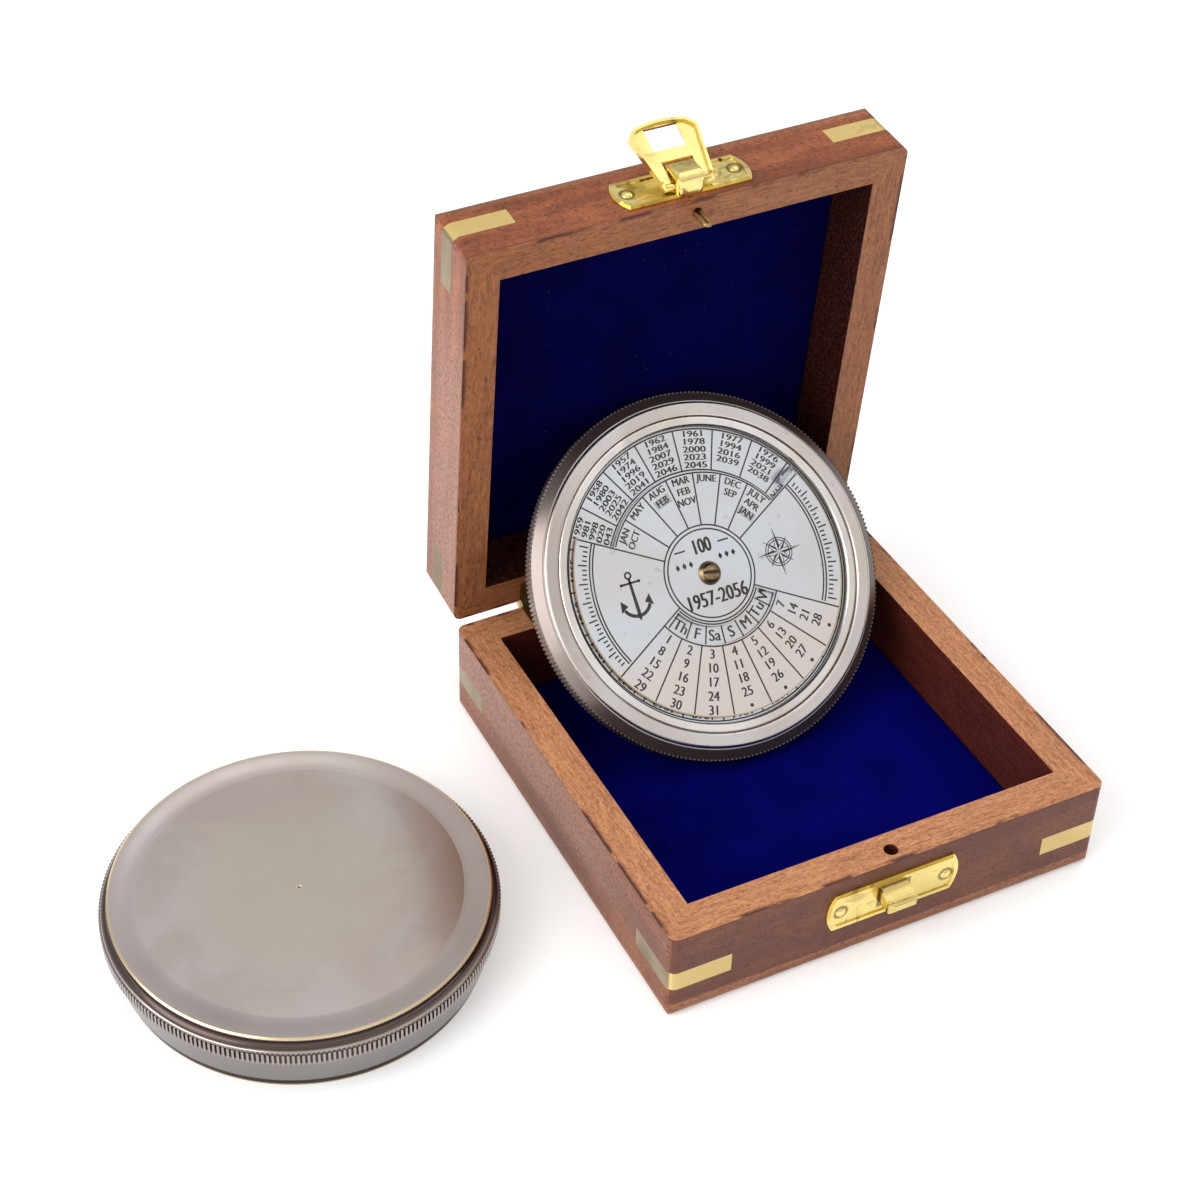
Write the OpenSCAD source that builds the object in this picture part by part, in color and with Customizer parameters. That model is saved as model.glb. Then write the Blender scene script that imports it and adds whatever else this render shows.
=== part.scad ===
// Perpetual calendar compass in a hinged wooden case.
// The calendar lid leans in the open case and the compass bowl lies beside it, mouth down.
// Frame: millimetres, origin under the middle of the case base, +Z up, the front faces -Y.

/* [Case] */
// Outer width of the case
case_w = 100; // [94:0.5:140]
// Outer depth of the case
case_d = 100; // [100:0.5:140]
// Height of the lower half
base_h = 22.4; // [20:0.1:40]
// Height of the upper half
lid_h = 16.7; // [15:0.1:30]
// Thickness of the walls
wall_t = 7.4; // [6:0.1:8]
// Rounding of the outer edges
edge_r = 2; // [1.4:0.1:2.4]
// Thickness of the bottom board
bottom_t = 2.6; // [2.5:0.1:5]
// Thickness of the lid board
top_t = 2.8; // [2.5:0.1:5]
// Thickness of the velvet pad on the floor
floor_pad_t = 3; // [1:0.1:3]
// Thickness of the velvet pad in the lid
lid_pad_t = 1; // [0.5:0.1:1.2]
// Play between a velvet pad and the walls
pad_play = 0.1; // [0:0.05:0.4]
// Gap between the two rims when the case is shut
rim_gap = 0.3; // [0.2:0.05:0.8]
// Angle at which the lid stands open
lid_open = 85; // [0:1:95]

/* [Corner inlays] */
// Length of each leg of a corner inlay
inlay_leg = 13.8; // [8:0.1:20]
// Width of the inlaid strip
inlay_h = 4.7; // [2:0.1:7]
// Thickness of the inlaid strip
inlay_t = 1.2; // [0.6:0.1:1.2]
// Rounding that the inlays' inner corners keep
inlay_round = 0.2; // [0.1:0.05:0.5]
// Height of the base inlays' middle above the underside
base_inlay_z = 10.3; // [7:0.1:13]
// Distance of the lid inlays' middle from the lid's outer face
lid_inlay_z = 7.4; // [6:0.1:9]

/* [Case hinges] */
// Length of one hinge
hinge_len = 16; // [10:0.5:24]
// Distance of a hinge's middle from the case's middle
hinge_x = 26; // [18:0.5:32]
// Width of a leaf, in from the back of the case
leaf_w = 5.6; // [4:0.1:6.5]
// Thickness of a leaf
leaf_t = 0.9; // [0.6:0.1:1.4]
// Radius of the hinge barrel
barrel_r = 1.6; // [1.3:0.1:2]
// Radius of the hinge pin
hinge_pin_r = 0.7; // [0.5:0.05:0.9]
// Distance of the hinge axis behind the case's back
hinge_back = 0.9; // [0.6:0.1:1.4]
// Running play between the pin and the lid's knuckle, on the radius
pin_play = 0.05; // [0.02:0.01:0.1]
// Gap between neighbouring knuckles
knuckle_gap = 0.15; // [0.05:0.05:0.4]
// Space around the barrel in the wood
barrel_relief = 0.35; // [0.2:0.05:0.6]
// Radius of a hinge screw's head
screw_head_r = 1.1; // [0.8:0.05:1.4]
// Radius of a hinge screw's shank
screw_shank_r = 0.6; // [0.4:0.05:0.8]
// Length of a hinge screw
screw_len = 5; // [3:0.1:7]
// Distance of a hinge screw from its hinge's middle
screw_x = 5.1; // [3:0.1:6]
// Distance of a hinge screw from the case's back
screw_in = 3.1; // [2.5:0.1:4]

/* [Hasp and catch] */
// Top of the catch's nose below the base's rim
nose_top = 5.4; // [5:0.1:6]
// Tip of the nose below the base's rim
nose_tip = 7.7; // [7.5:0.1:9]
// Lower side of the nose below the base's rim
nose_low = 10.2; // [9.5:0.1:10.4]
// Foot of the nose below the base's rim
nose_foot = 10.6; // [10.4:0.1:11.5]
// Radius of the nose's tip
nose_tip_r = 0.7; // [0.4:0.05:1]
// Twice the reach of the nose's foot in front of its plate
nose_back = 1.2; // [0.8:0.1:1.6]
// Scoop of the nose's upper side, in front of the wood
nose_scoop = 1.7; // [1.2:0.1:2.4]
// Radius of the nose's corners
nose_round = 1.6; // [0.8:0.1:2]
// Length of the hasp's and the catch's plates
plate_w = 30.5; // [26:0.5:40]
// Height of the hasp plate
hasp_plate_h = 9.2; // [8:0.1:11]
// Height of the catch plate
catch_plate_h = 9.8; // [8:0.1:12]
// Thickness of the plates
plate_t = 0.9; // [0.7:0.05:1]
// Bulge of the plates' ends
plate_bow = 1.5; // [0.5:0.1:2.5]
// Width of the plates' bevelled edge
plate_bevel = 0.5; // [0.2:0.05:0.7]
// Height of the plates' straight edge, as a share of their thickness
plate_edge = 0.55; // [0.3:0.05:0.8]
// Width of the plates' raised border
panel_in = 1.3; // [1:0.1:2]
// Depth of the plates' sunk panel
panel_d = 0.3; // [0.1:0.05:0.35]
// Steps in the plates' bevelled edge
bevel_steps = 3; // [1:1:4]
// Hasp plate's lower edge above the lid's rim
hasp_plate_up = 1.5; // [1:0.1:2]
// Catch plate's upper edge below the base's rim
catch_plate_down = 3.6; // [3:0.1:5]
// Distance between a plate's two rivets
rivet_span = 24.4; // [20:0.2:26]
// Radius of a rivet's head
rivet_r = 1.25; // [0.8:0.05:1.6]
// Height of a rivet's head
rivet_head_h = 0.6; // [0.3:0.05:0.8]
// Radius of a rivet's shank
rivet_shank_r = 0.6; // [0.4:0.05:0.8]
// Length of a rivet's shank in the wood
rivet_len = 4; // [2:0.1:5]
// Hasp axis above the lid's rim
hasp_axis_up = 3.3; // [3:0.1:4]
// Hasp axis in front of the wood
hasp_axis_out = 2.1; // [2:0.05:2.4]
// Radius of the hasp's bar
hasp_bar_r = 0.75; // [0.6:0.05:0.8]
// Running play between the bar and its curl, on the radius
bar_play = 0.08; // [0.02:0.01:0.1]
// Width of the curl
curl_w = 6.3; // [5:0.1:6.6]
// Reach of the curl in front of the wood
curl_out = 5.1; // [4.4:0.1:5.3]
// Reach of the curl from the axis towards the lid's rim
curl_near = 1.8; // [1.6:0.05:1.9]
// Reach of the curl from the axis away from the lid's rim
curl_far = 5.2; // [4.6:0.1:5.3]
// Radius of the curl's bends
curl_r = 1.9; // [1.6:0.05:2]
// Reach of the curl's far bend in front of the wood
curl_back = 4.7; // [4:0.1:5]
// Thickness of the curl's sheet
curl_t = 1.4; // [1.3:0.05:1.5]
// Radius of the curl's corners
curl_round = 1.1; // [0.6:0.1:1.2]
// Depth of the hollows in the curl's ends
curl_hollow = 1.3; // [0.5:0.1:2]
// Radius of the spare nail hole in the hasp plate
nail_r = 0.4; // [0.3:0.05:0.5]
// Distance of the nail hole to the right of the middle
nail_x = 10.8; // [8:0.1:12]
// Height of the nail hole above the lid's rim
nail_up = 9.5; // [9:0.1:9.6]
// Length of the hasp from its axis to the free end
hasp_len = 15.5; // [15:0.1:18]
// Width of the hasp at the axis
hasp_near_w = 11.2; // [10.8:0.1:13]
// Width of the hasp at the free end
hasp_far_w = 16.6; // [14:0.1:20]
// Thickness of the hasp's sheet
hasp_t = 0.7; // [0.5:0.05:0.8]
// Depth of the hasp's turned edge
hasp_edge_d = 0.65; // [0.3:0.05:0.7]
// Width of the hasp's turned edge
hasp_edge_w = 0.7; // [0.5:0.05:0.9]
// Radius of the hasp's bowed free end
hasp_end_r = 19.9; // [12:0.1:40]
// Radius that rounds the hasp's corners, about the middle of its length
hasp_round_r = 9.65; // [9:0.05:11]
// Distance of that middle from half the hasp's length
hasp_round_in = 0.8; // [0:0.1:2]
// Bare end of the hasp's bar at each side
bar_end = 0.6; // [0.2:0.1:1]
// Width of the hasp's window
window_w = 7.6; // [7.4:0.1:9]
// Near edge of the hasp's window from the axis
window_from = 8.6; // [8:0.1:8.8]
// Far edge of the hasp's window from the axis
window_to = 14.2; // [14.1:0.1:14.4]
// Width of the slot around the curl
slot_w = 7; // [6.9:0.1:7.6]
// Far edge of the slot from the axis
slot_to = 5.8; // [5:0.1:6.4]
// Angle of the hasp above the lid's front as it stands
hasp_rest = 20; // [5:1:90]
// Width of the catch's nose
nose_w = 6.8; // [5:0.1:7]
// Reach of the catch's nose in front of the wood
nose_out = 5; // [3.5:0.1:5.2]

/* [Locating pin] */
// Distance of the pin to the right of the middle
pin_x = 0.8; // [-3:0.1:3]
// Radius of the pin's wire
wire_r = 0.45; // [0.3:0.05:0.5]
// Distance between the middles of the pin's two legs
loop_w = 1.3; // [1.2:0.1:1.4]
// Height of the pin above the lid's rim
loop_h = 5.2; // [3:0.1:5.5]
// Depth of the pin in the lid's rim
loop_root = 3; // [2:0.1:4]
// Radius of the hole in the base's rim
pin_hole_r = 1.5; // [1.4:0.05:2]
// Depth of the hole in the base's rim
pin_hole_d = 7; // [6.5:0.1:8]
// Distance of the locating pin from the case's front
pin_in = 3.1; // [2.5:0.1:4]

/* [Calendar lid] */
// Bevel of the flange's back edge
cal_bevel = 0.3; // [0.1:0.05:0.5]
// Rounding of the bright outer ring's outer edge
ring_round = 0.8; // [0.4:0.05:1]
// Rounding of the bright outer ring's inner edge
ring_in_round = 0.6; // [0.3:0.05:0.8]
// Foot of the outer ring beyond its own radius
ring_foot = 0.25; // [0.1:0.05:0.4]
// Rounding of the inner ring's outer edge
bezel_round = 0.5; // [0.2:0.05:0.6]
// Bevel of the inner ring's inner edge
bezel_bevel = 0.35; // [0.1:0.05:0.5]
// Radius of the bright outer ring
ring_r = 37.9; // [37.5:0.1:38.2]
// Radius of the knurled flange
flange_r = 40.4; // [39.8:0.1:40.6]
// Thickness of the calendar lid
cal_t = 5.6; // [5.2:0.1:5.8]
// Height of the knurl
cal_knurl_h = 2.9; // [2:0.1:3.2]
// Number of teeth in the knurl
cal_teeth = 260; // [60:1:300]
// Depth of the teeth
tooth_d = 0.35; // [0.15:0.05:0.5]
// Outer radius of the inner ring
bezel_r = 34.6; // [33.6:0.1:35.2]
// Height of the inner ring below the outer one
bezel_drop = 0.3; // [0.1:0.05:0.6]
// Thickness of the lid's web
web_t = 1.2; // [0.8:0.1:1.5]
// Depth of the recess that takes the bowl's mouth
recess_d = 2.2; // [2:0.1:2.4]
// Play between the bowl's mouth and the recess, on the radius
mouth_play = 0.25; // [0.1:0.05:0.4]
// Lean of the calendar lid from the flat
lean = 45; // [40:0.5:50]
// Distance of the leaning face's middle behind the case's middle
lean_y = 26.4; // [25:0.1:27]
// Height of the leaning face's middle
lean_z = 38.4; // [38:0.1:40]

/* [Calendar plates] */
// Radius of the year plate
dial_r = 32.3; // [31.5:0.1:32.6]
// Play between the year plate and the inner ring
dial_play = 0.15; // [0.05:0.05:0.3]
// Thickness of the year plate
year_t = 0.5; // [0.4:0.05:0.6]
// Thickness of the spacer
spacer_t = 0.4; // [0.3:0.05:0.6]
// Radius of the spacer
spacer_r = 6.9; // [4:0.1:10]
// Play of the pieces that sit fast on a pin or in a ring, on the radius
seat_play = 0.02; // [0.01:0.01:0.05]
// Thickness of the turning plate
turn_t = 0.6; // [0.4:0.05:0.6]
// Play above and below the turning plate
turn_play = 0.05; // [0.03:0.01:0.1]
// Outer radius of the turning plate
turn_r = 31.2; // [30:0.1:31.4]
// Outer radius of its month sector
month_r = 22.4; // [20:0.1:24]
// Inner radius of the weekday window
days_in_r = 11.5; // [10:0.1:12]
// Outer radius of the weekday window
days_out_r = 15.6; // [14:0.1:17]
// Spread of the weekday window
days_spread = 116; // [100:1:118]
// Spread of the month sector
month_spread = 120; // [110:1:130]
// Turn of the plate as it stands
turn_rest = 0; // [0:0.01:360]
// Distance of the finger tab from the middle
tab_r = 28.9; // [27:0.1:29.2]
// Width of the finger tab
tab_w = 4; // [2:0.1:4.2]
// Inner bend radius of the finger tab
tab_bend = 0.9; // [0.6:0.1:1.4]
// Lean of the finger tab above the turning plate
tab_lean = 50; // [30:1:60]
// Length of the finger tab beyond its bend
tab_len = 2.1; // [1:0.1:2.2]
// Radius of the finger tab's corners
tab_round = 1.2; // [0.5:0.1:1.5]
// Radius of the pivot screw's shank
pivot_r = 1.5; // [1:0.05:2]
// Running play between the shank and the turning plate, on the radius
pivot_play = 0.06; // [0.02:0.01:0.1]
// Radius of the pivot screw's head
pivot_head_r = 2.65; // [2.2:0.05:3]
// Height of the pivot screw's head
pivot_head_h = 1.8; // [1.2:0.05:2]
// Width of the screwdriver slot
drive_w = 0.75; // [0.4:0.05:0.9]
// Depth of the screwdriver slot
drive_d = 0.8; // [0.4:0.05:0.9]
// Thickness of the pivot's nut
nut_t = 1.2; // [0.8:0.1:1.4]
// Width of the nut across its corners
nut_w = 5.4; // [4.5:0.1:6.5]
// End of the shank that shows beyond the nut
shank_end = 0.3; // [0.1:0.05:0.6]
// Turn of the screwdriver slot
drive_turn = 168; // [0:1:180]

/* [Compass bowl] */
// Distance of the bowl's middle to the left of the case's middle
bowl_x = 107; // [95:1:160]
// Height of the bowl
bowl_h = 15; // [14:0.1:18]
// Radius of the bowl's mouth
mouth_r = 37.5; // [37.2:0.05:37.6]
// Height of the mouth's collar
mouth_h = 1.9; // [1.5:0.1:2]
// Depth of the groove behind the collar
groove_d = 0.7; // [0.4:0.05:0.9]
// Width of the groove
groove_h = 0.55; // [0.3:0.05:0.8]
// Radius of the side at the groove
side_low_r = 38.2; // [37.8:0.1:38.8]
// Radius of the side below the knurl
side_high_r = 39.5; // [39:0.1:39.7]
// Radius of the bowl's knurl
bowl_knurl_r = 40.3; // [40:0.1:40.6]
// Lower edge of the knurl below the plain face
knurl_from = 5.4; // [5:0.1:6]
// Upper edge of the knurl below the plain face
knurl_to = 2.8; // [2.5:0.1:3.2]
// Number of teeth in the knurl
bowl_teeth = 260; // [60:1:300]
// Radius of the plain face
face_r = 38.6; // [38:0.1:39]
// Radius of the face's flat middle
flat_r = 33; // [30:0.1:35]
// Depth of the face's flat middle
dish_d = 0.45; // [0.2:0.05:0.8]
// Radius of the punch mark in the face
punch_r = 0.35; // [0.2:0.05:0.6]
// Thickness of the bowl's floor
bowl_floor = 2; // [1.5:0.1:2.5]
// Inner radius of the bowl
bowl_in_r = 35; // [34:0.1:35.3]
// Inner radius of the mouth
mouth_in_r = 36; // [35.8:0.1:36.3]
// Bevel of the mouth's and the side's edges
bowl_bevel = 0.2; // [0.1:0.05:0.4]
// Rounding of the knurl's upper edge
bead_r = 0.45; // [0.3:0.05:0.6]
// Radius of the hollow above the knurl
cove_r = 1.05; // [0.8:0.05:1.2]
// Height of the face's straight edge
face_edge = 0.5; // [0.2:0.05:0.8]
// Width of the face's bevel
face_bevel = 0.3; // [0.1:0.05:0.5]
// Height of the face's bevel
face_bevel_h = 0.25; // [0.1:0.05:0.4]

/* [Compass] */
// Thickness of the compass card
card_t = 0.5; // [0.3:0.1:0.8]
// Play around the card and the glass
card_play = 0.15; // [0.05:0.05:0.4]
// Thickness of the glass
glass_t = 1.4; // [1:0.1:1.8]
// Thickness of the ring that holds the glass
glass_ring_t = 1.2; // [0.8:0.1:1.5]
// Inner radius of the ring that holds the glass
glass_ring_r = 34; // [32:0.1:34.8]
// Depth of that ring inside the mouth's collar
glass_ring_in = 0.3; // [0.1:0.05:0.6]
// Radius of the cap's neck through the needle
cap_neck_r = 1.3; // [0.8:0.05:2]
// Depth of the cap's cup beyond the pin's tip
cap_dip = 0.2; // [0.1:0.05:0.4]
// Radius of the pivot pin
post_r = 0.5; // [0.4:0.05:0.7]
// Length of the pivot pin above the card
post_len = 4; // [3.5:0.1:5]
// Radius of the pivot pin's foot
post_foot_r = 1.8; // [1.2:0.1:2.5]
// Height of the pivot pin's foot
post_foot_h = 0.6; // [0.4:0.05:1]
// Running play between the pin and the needle's cap, on the radius
post_play = 0.08; // [0.02:0.01:0.1]
// Length of the needle
needle_len = 58; // [40:1:62]
// Width of the needle
needle_w = 6; // [4:0.1:9]
// Thickness of the needle
needle_t = 0.5; // [0.3:0.05:0.8]
// Radius of the needle's cap
cap_r = 2.2; // [1.6:0.1:3]
// Height of the needle's cap
cap_h = 2.4; // [1.8:0.1:2.8]
// Thickness of the cap's crown over the pin
cap_crown = 0.6; // [0.4:0.05:0.9]
// Direction in which the needle points
needle_turn = 30; // [0:1:360]

/* [Hidden] */
$fn = 96;
eps = 0.01;
over = 1;
over_cut = 0.05;
well_w = case_w - 2 * wall_t;
well_d = case_d - 2 * wall_t;
lid_z = base_h + rim_gap;
lid_wall_h = lid_h - top_t;
floor_z = bottom_t + floor_pad_t;
hinge_y = case_d / 2 + hinge_back;
hinge_z = base_h + rim_gap / 2;
front_y = -case_d / 2;
knuckle_len = hinge_len / 3;
hasp_y = front_y - hasp_axis_out;
hasp_z = lid_z + hasp_axis_up;
hasp_plate_z = lid_z + hasp_plate_up;
catch_plate_z = base_h - catch_plate_down - catch_plate_h;
pin_y = front_y + pin_in;
web_z = -cal_t + recess_d;
web_top = web_z + web_t;
skirt_r = mouth_r + mouth_play;
spacer_z = web_top + year_t;
turn_z = spacer_z + spacer_t + turn_play;
turn_top = turn_z + turn_t;
inner_z = bowl_h - dish_d - bowl_floor;
card_z = inner_z - card_t;
glass_seat_z = mouth_h - glass_ring_in + glass_ring_t + glass_t;
post_tip_z = card_z - post_len;
cap_z = post_tip_z - cap_crown;
needle_z = cap_z + cap_h / 2;

wood = [0.5, 0.3, 0.22];
wood_light = [0.66, 0.42, 0.28];
velvet = [0.02, 0.02, 0.4];
brass = [0.85, 0.66, 0.25];
silver = [0.78, 0.74, 0.7];
steel = [0.3, 0.32, 0.38];

// Points on a bend from p to r that leans towards q
function bend(p, q, r, n = 8) =
    [for (i = [0:n]) let (t = i / n) (1 - t) * (1 - t) * p + 2 * t * (1 - t) * q + t * t * r];

// Points on an arc in a section
function arc(cx, cy, r, a0, a1, n = 6) =
    [for (i = [0:n]) [cx + r * cos(a0 + (a1 - a0) * i / n), cy + r * sin(a0 + (a1 - a0) * i / n)]];

// Outline of a knurled ring: a land and a slot for each tooth
function knurl_points(r, depth, teeth) = [
    for (i = [0:teeth - 1])
        for (s = [[0, r], [0.5, r], [0.62, r - depth], [0.88, r - depth]])
            [s[1] * cos(360 * (i + s[0]) / teeth), s[1] * sin(360 * (i + s[0]) / teeth)]
];

// A wedge from the middle, wide enough to cut a disc
function wedge_points(r, a0, a1) =
    concat([[0, 0]], arc(0, 0, 2 * r, a0, a1, 8));

// Plan with four rounded corners
module rounded_plan(w, d, r) {
    square([w - 2 * r, d], center = true);
    square([w, d - 2 * r], center = true);
    for (sx = [-1, 1])
        for (sy = [-1, 1])
            translate([sx * (w / 2 - r), sy * (d / 2 - r)])
                circle(r);
}

// Turns a section drawn in Y and Z into a bar along X, about the middle
module bar_x(length) {
    translate([-length / 2, 0, 0])
        rotate([90, 0, 90])
            linear_extrude(length)
                children();
}

// Section of a board whose lower edges are rounded
module eased_section(w, h, r) {
    translate([-w / 2, r])
        square([w, h - r]);
    translate([-w / 2 + r, 0])
        square([w - 2 * r, h]);
    for (s = [-1, 1])
        intersection() {
            translate([s * (w / 2 - r), r])
                circle(r);
            translate([-w, 0])
                square([2 * w, h]);
        }
}

// Board with rounded corners and rounded lower edges
module eased_board(w, d, h, r) {
    intersection() {
        linear_extrude(h)
            rounded_plan(w, d, r);
        bar_x(w + 2 * over)
            eased_section(d, h, r);
        rotate([0, 0, 90])
            bar_x(d + 2 * over)
                eased_section(w, h, r);
    }
}

// Plan of one mitred wall: side 0 front, 1 right, 2 back, 3 left
module wall_plan(side) {
    reach = wall_t + over;
    along = side % 2 == 0 ? case_w : case_d;
    deep = side % 2 == 0 ? case_d : case_w;
    intersection() {
        difference() {
            rounded_plan(case_w, case_d, edge_r);
            square([well_w, well_d], center = true);
        }
        rotate([0, 0, 90 * side])
            polygon([
                [-along / 2, -deep / 2],
                [along / 2, -deep / 2],
                [along / 2 - reach, -deep / 2 + reach],
                [-along / 2 + reach, -deep / 2 + reach]
            ]);
    }
}

// Plan of the four corner strips, with the given growth outside the case
module inlay_plan(out) {
    inner_r = edge_r - inlay_t + inlay_round;
    difference() {
        rounded_plan(case_w + 2 * out, case_d + 2 * out, edge_r + out);
        rounded_plan(case_w - 2 * inlay_t, case_d - 2 * inlay_t, inner_r);
        square([case_w - 2 * inlay_leg, case_d * 2], center = true);
        square([case_w * 2, case_d - 2 * inlay_leg], center = true);
    }
}

// Moves lid pieces from the shut case to where the lid stands
module lid_frame() {
    translate([0, hinge_y, hinge_z])
        rotate([-lid_open, 0, 0])
            translate([0, -hinge_y, -hinge_z])
                children();
}

// Moves calendar pieces from a flat face at the origin to the leaning lid
module calendar_frame() {
    translate([0, lean_y, lean_z])
        rotate([lean, 0, 0])
            children();
}

// Moves bowl pieces to where the bowl lies, mouth down
module bowl_frame() {
    translate([-bowl_x, 0, 0])
        children();
}

// Both hinges' positions
module at_hinges() {
    for (s = [-1, 1])
        translate([s * hinge_x, 0, 0])
            children();
}

// Wood taken away for the hinges, by the side of the rim that is cut
module hinge_mortises(up) {
    at_hinges() {
        translate([-hinge_len / 2, case_d / 2 - leaf_w, up ? lid_z - over : base_h - leaf_t])
            cube([hinge_len, leaf_w + over, leaf_t + over]);
        translate([-hinge_len / 2, hinge_y, hinge_z])
            rotate([0, 90, 0])
                cylinder(r = barrel_r + barrel_relief, h = hinge_len);
    }
}

// Holes for the hinge screws through a leaf and into the wood
module hinge_screw_at(up) {
    top = up ? lid_z : base_h;
    at_hinges()
        for (s = [-1, 1])
            translate([s * screw_x, case_d / 2 - screw_in, top])
                rotate([up ? 180 : 0, 0, 0])
                    children();
}

// One countersunk hinge screw, its head's top at the origin
module hinge_screw(play = 0) {
    translate([0, 0, -leaf_t])
        cylinder(r1 = screw_shank_r + play, r2 = screw_head_r + play, h = leaf_t + (play > 0 ? eps : 0));
    translate([0, 0, -screw_len])
        cylinder(r = screw_shank_r + play, h = screw_len - leaf_t + eps);
}

module base_wall(side) {
    difference() {
        translate([0, 0, bottom_t])
            linear_extrude(base_h - bottom_t)
                wall_plan(side);
        translate([0, 0, base_inlay_z - inlay_h / 2])
            linear_extrude(inlay_h)
                inlay_plan(over);
        if (side == 0) {
            translate([pin_x, pin_y, base_h - pin_hole_d])
                cylinder(r = pin_hole_r, h = pin_hole_d + over);
            rivet_holes(base_h - catch_plate_down - catch_plate_h / 2);
        }
        if (side == 2) {
            hinge_mortises(false);
            hinge_screw_at(false)
                hinge_screw();
        }
    }
}

module lid_wall(side) {
    difference() {
        translate([0, 0, lid_z])
            linear_extrude(lid_wall_h)
                wall_plan(side);
        translate([0, 0, lid_z + lid_h - lid_inlay_z - inlay_h / 2])
            linear_extrude(inlay_h)
                inlay_plan(over);
        if (side == 0) {
            translate([pin_x, pin_y, lid_z - over])
                cylinder(r = loop_w / 2 + wire_r, h = loop_root + over);
            rivet_holes(hasp_plate_z + hasp_plate_h / 2);
        }
        if (side == 2) {
            hinge_mortises(true);
            hinge_screw_at(true)
                hinge_screw();
        }
    }
}

// Pilot holes for the two rivets of a plate at the given height
module rivet_holes(z) {
    for (s = [-1, 1])
        translate([s * rivet_span / 2, front_y - over, z])
            rotate([-90, 0, 0])
                cylinder(r = rivet_shank_r, h = rivet_len + over);
}

// The two rivets of a plate at the given height
module rivet_pair(z) {
    crown_r = (rivet_r * rivet_r + rivet_head_h * rivet_head_h) / (2 * rivet_head_h);
    head = arc(0, rivet_head_h - crown_r, crown_r, 90 - asin(rivet_r / crown_r), 90);
    for (s = [-1, 1])
        translate([s * rivet_span / 2, front_y - plate_t + panel_d, z])
            rotate([90, 0, 0]) {
                rotate_extrude()
                    polygon(concat([[0, 0]], head));
                translate([0, 0, -rivet_len - plate_t + panel_d])
                    cylinder(r = rivet_shank_r, h = rivet_len + plate_t - panel_d + eps);
            }
}

// Plan of a plate with bowed ends, drawn about its middle
module plate_plan(h, inset) {
    bow_r = (h * h / 4 + plate_bow * plate_bow) / (2 * plate_bow);
    square([plate_w - 2 * bow_r, h - 2 * inset], center = true);
    for (s = [-1, 1])
        intersection() {
            translate([s * (plate_w / 2 - bow_r), 0])
                circle(bow_r - inset);
            translate([s * plate_w / 2, 0])
                square([2 * bow_r, h - 2 * inset], center = true);
        }
}

// A bevelled plate on the front of the case, its lower edge at the given height
module front_plate(h, z) {
    translate([0, front_y, z + h / 2])
        rotate([90, 0, 0])
            difference() {
                union()
                    for (i = [0:bevel_steps])
                        linear_extrude(plate_t * (plate_edge + (1 - plate_edge) * i / bevel_steps))
                            plate_plan(h, plate_bevel * i / bevel_steps);
                translate([0, 0, plate_t - panel_d])
                    linear_extrude(over)
                        plate_plan(h, panel_in);
            }
}

// Half of a hinge: the leaf in the rim and its knuckles
module leaf(up) {
    z = up ? lid_z : base_h - leaf_t;
    mine = up ? [[-0.5, 0.5]] : [[-1.5, -0.5], [0.5, 1.5]];
    other = up ? [[-1.5, -0.5], [0.5, 1.5]] : [[-0.5, 0.5]];
    bore = up ? hinge_pin_r + pin_play : hinge_pin_r;
    difference() {
        at_hinges()
            union() {
                translate([-hinge_len / 2, case_d / 2 - leaf_w, z])
                    cube([hinge_len, leaf_w + hinge_back, leaf_t]);
                for (k = mine)
                    translate([k[0] * knuckle_len + knuckle_gap / 2, hinge_y, hinge_z])
                        rotate([0, 90, 0])
                            cylinder(r = barrel_r, h = knuckle_len - knuckle_gap);
            }
        at_hinges() {
            for (k = other)
                translate([k[0] * knuckle_len - knuckle_gap / 2, hinge_y, hinge_z])
                    rotate([0, 90, 0])
                        cylinder(r = barrel_r + barrel_relief, h = knuckle_len + knuckle_gap);
            translate([-hinge_len, hinge_y, hinge_z])
                rotate([0, 90, 0])
                    cylinder(r = bore, h = 2 * hinge_len);
        }
        hinge_screw_at(up)
            hinge_screw();
    }
}

module base_front() {
    color(wood)
        base_wall(0);
}

module base_right() {
    color(wood)
        base_wall(1);
}

module base_back() {
    color(wood)
        base_wall(2);
}

module base_left() {
    color(wood)
        base_wall(3);
}

module base_board() {
    color(wood_light)
        eased_board(case_w, case_d, bottom_t, edge_r);
}

module base_velvet() {
    color(velvet)
        translate([-well_w / 2 + pad_play, -well_d / 2 + pad_play, bottom_t])
            cube([well_w - 2 * pad_play, well_d - 2 * pad_play, floor_pad_t]);
}

module base_inlays() {
    color(brass)
        translate([0, 0, base_inlay_z - inlay_h / 2])
            linear_extrude(inlay_h)
                inlay_plan(0);
}

module base_hinge_leaves() {
    color(brass)
        leaf(false);
}

module base_hinge_screws() {
    color(brass)
        hinge_screw_at(false)
            hinge_screw();
}

module hinge_pins() {
    color(brass)
        at_hinges()
            translate([-hinge_len / 2, hinge_y, hinge_z])
                rotate([0, 90, 0])
                    cylinder(r = hinge_pin_r, h = hinge_len);
}

// A block in front of the case, its corners rounded from above and from the front
module cushion(w, reach, z0, z1, r) {
    intersection() {
        translate([0, front_y, z0])
            linear_extrude(z1 - z0)
                rounded_plan(w, 2 * reach, r);
        translate([0, front_y, (z0 + z1) / 2])
            rotate([90, 0, 0])
                linear_extrude(reach + over)
                    rounded_plan(w, z1 - z0, r);
    }
}

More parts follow.
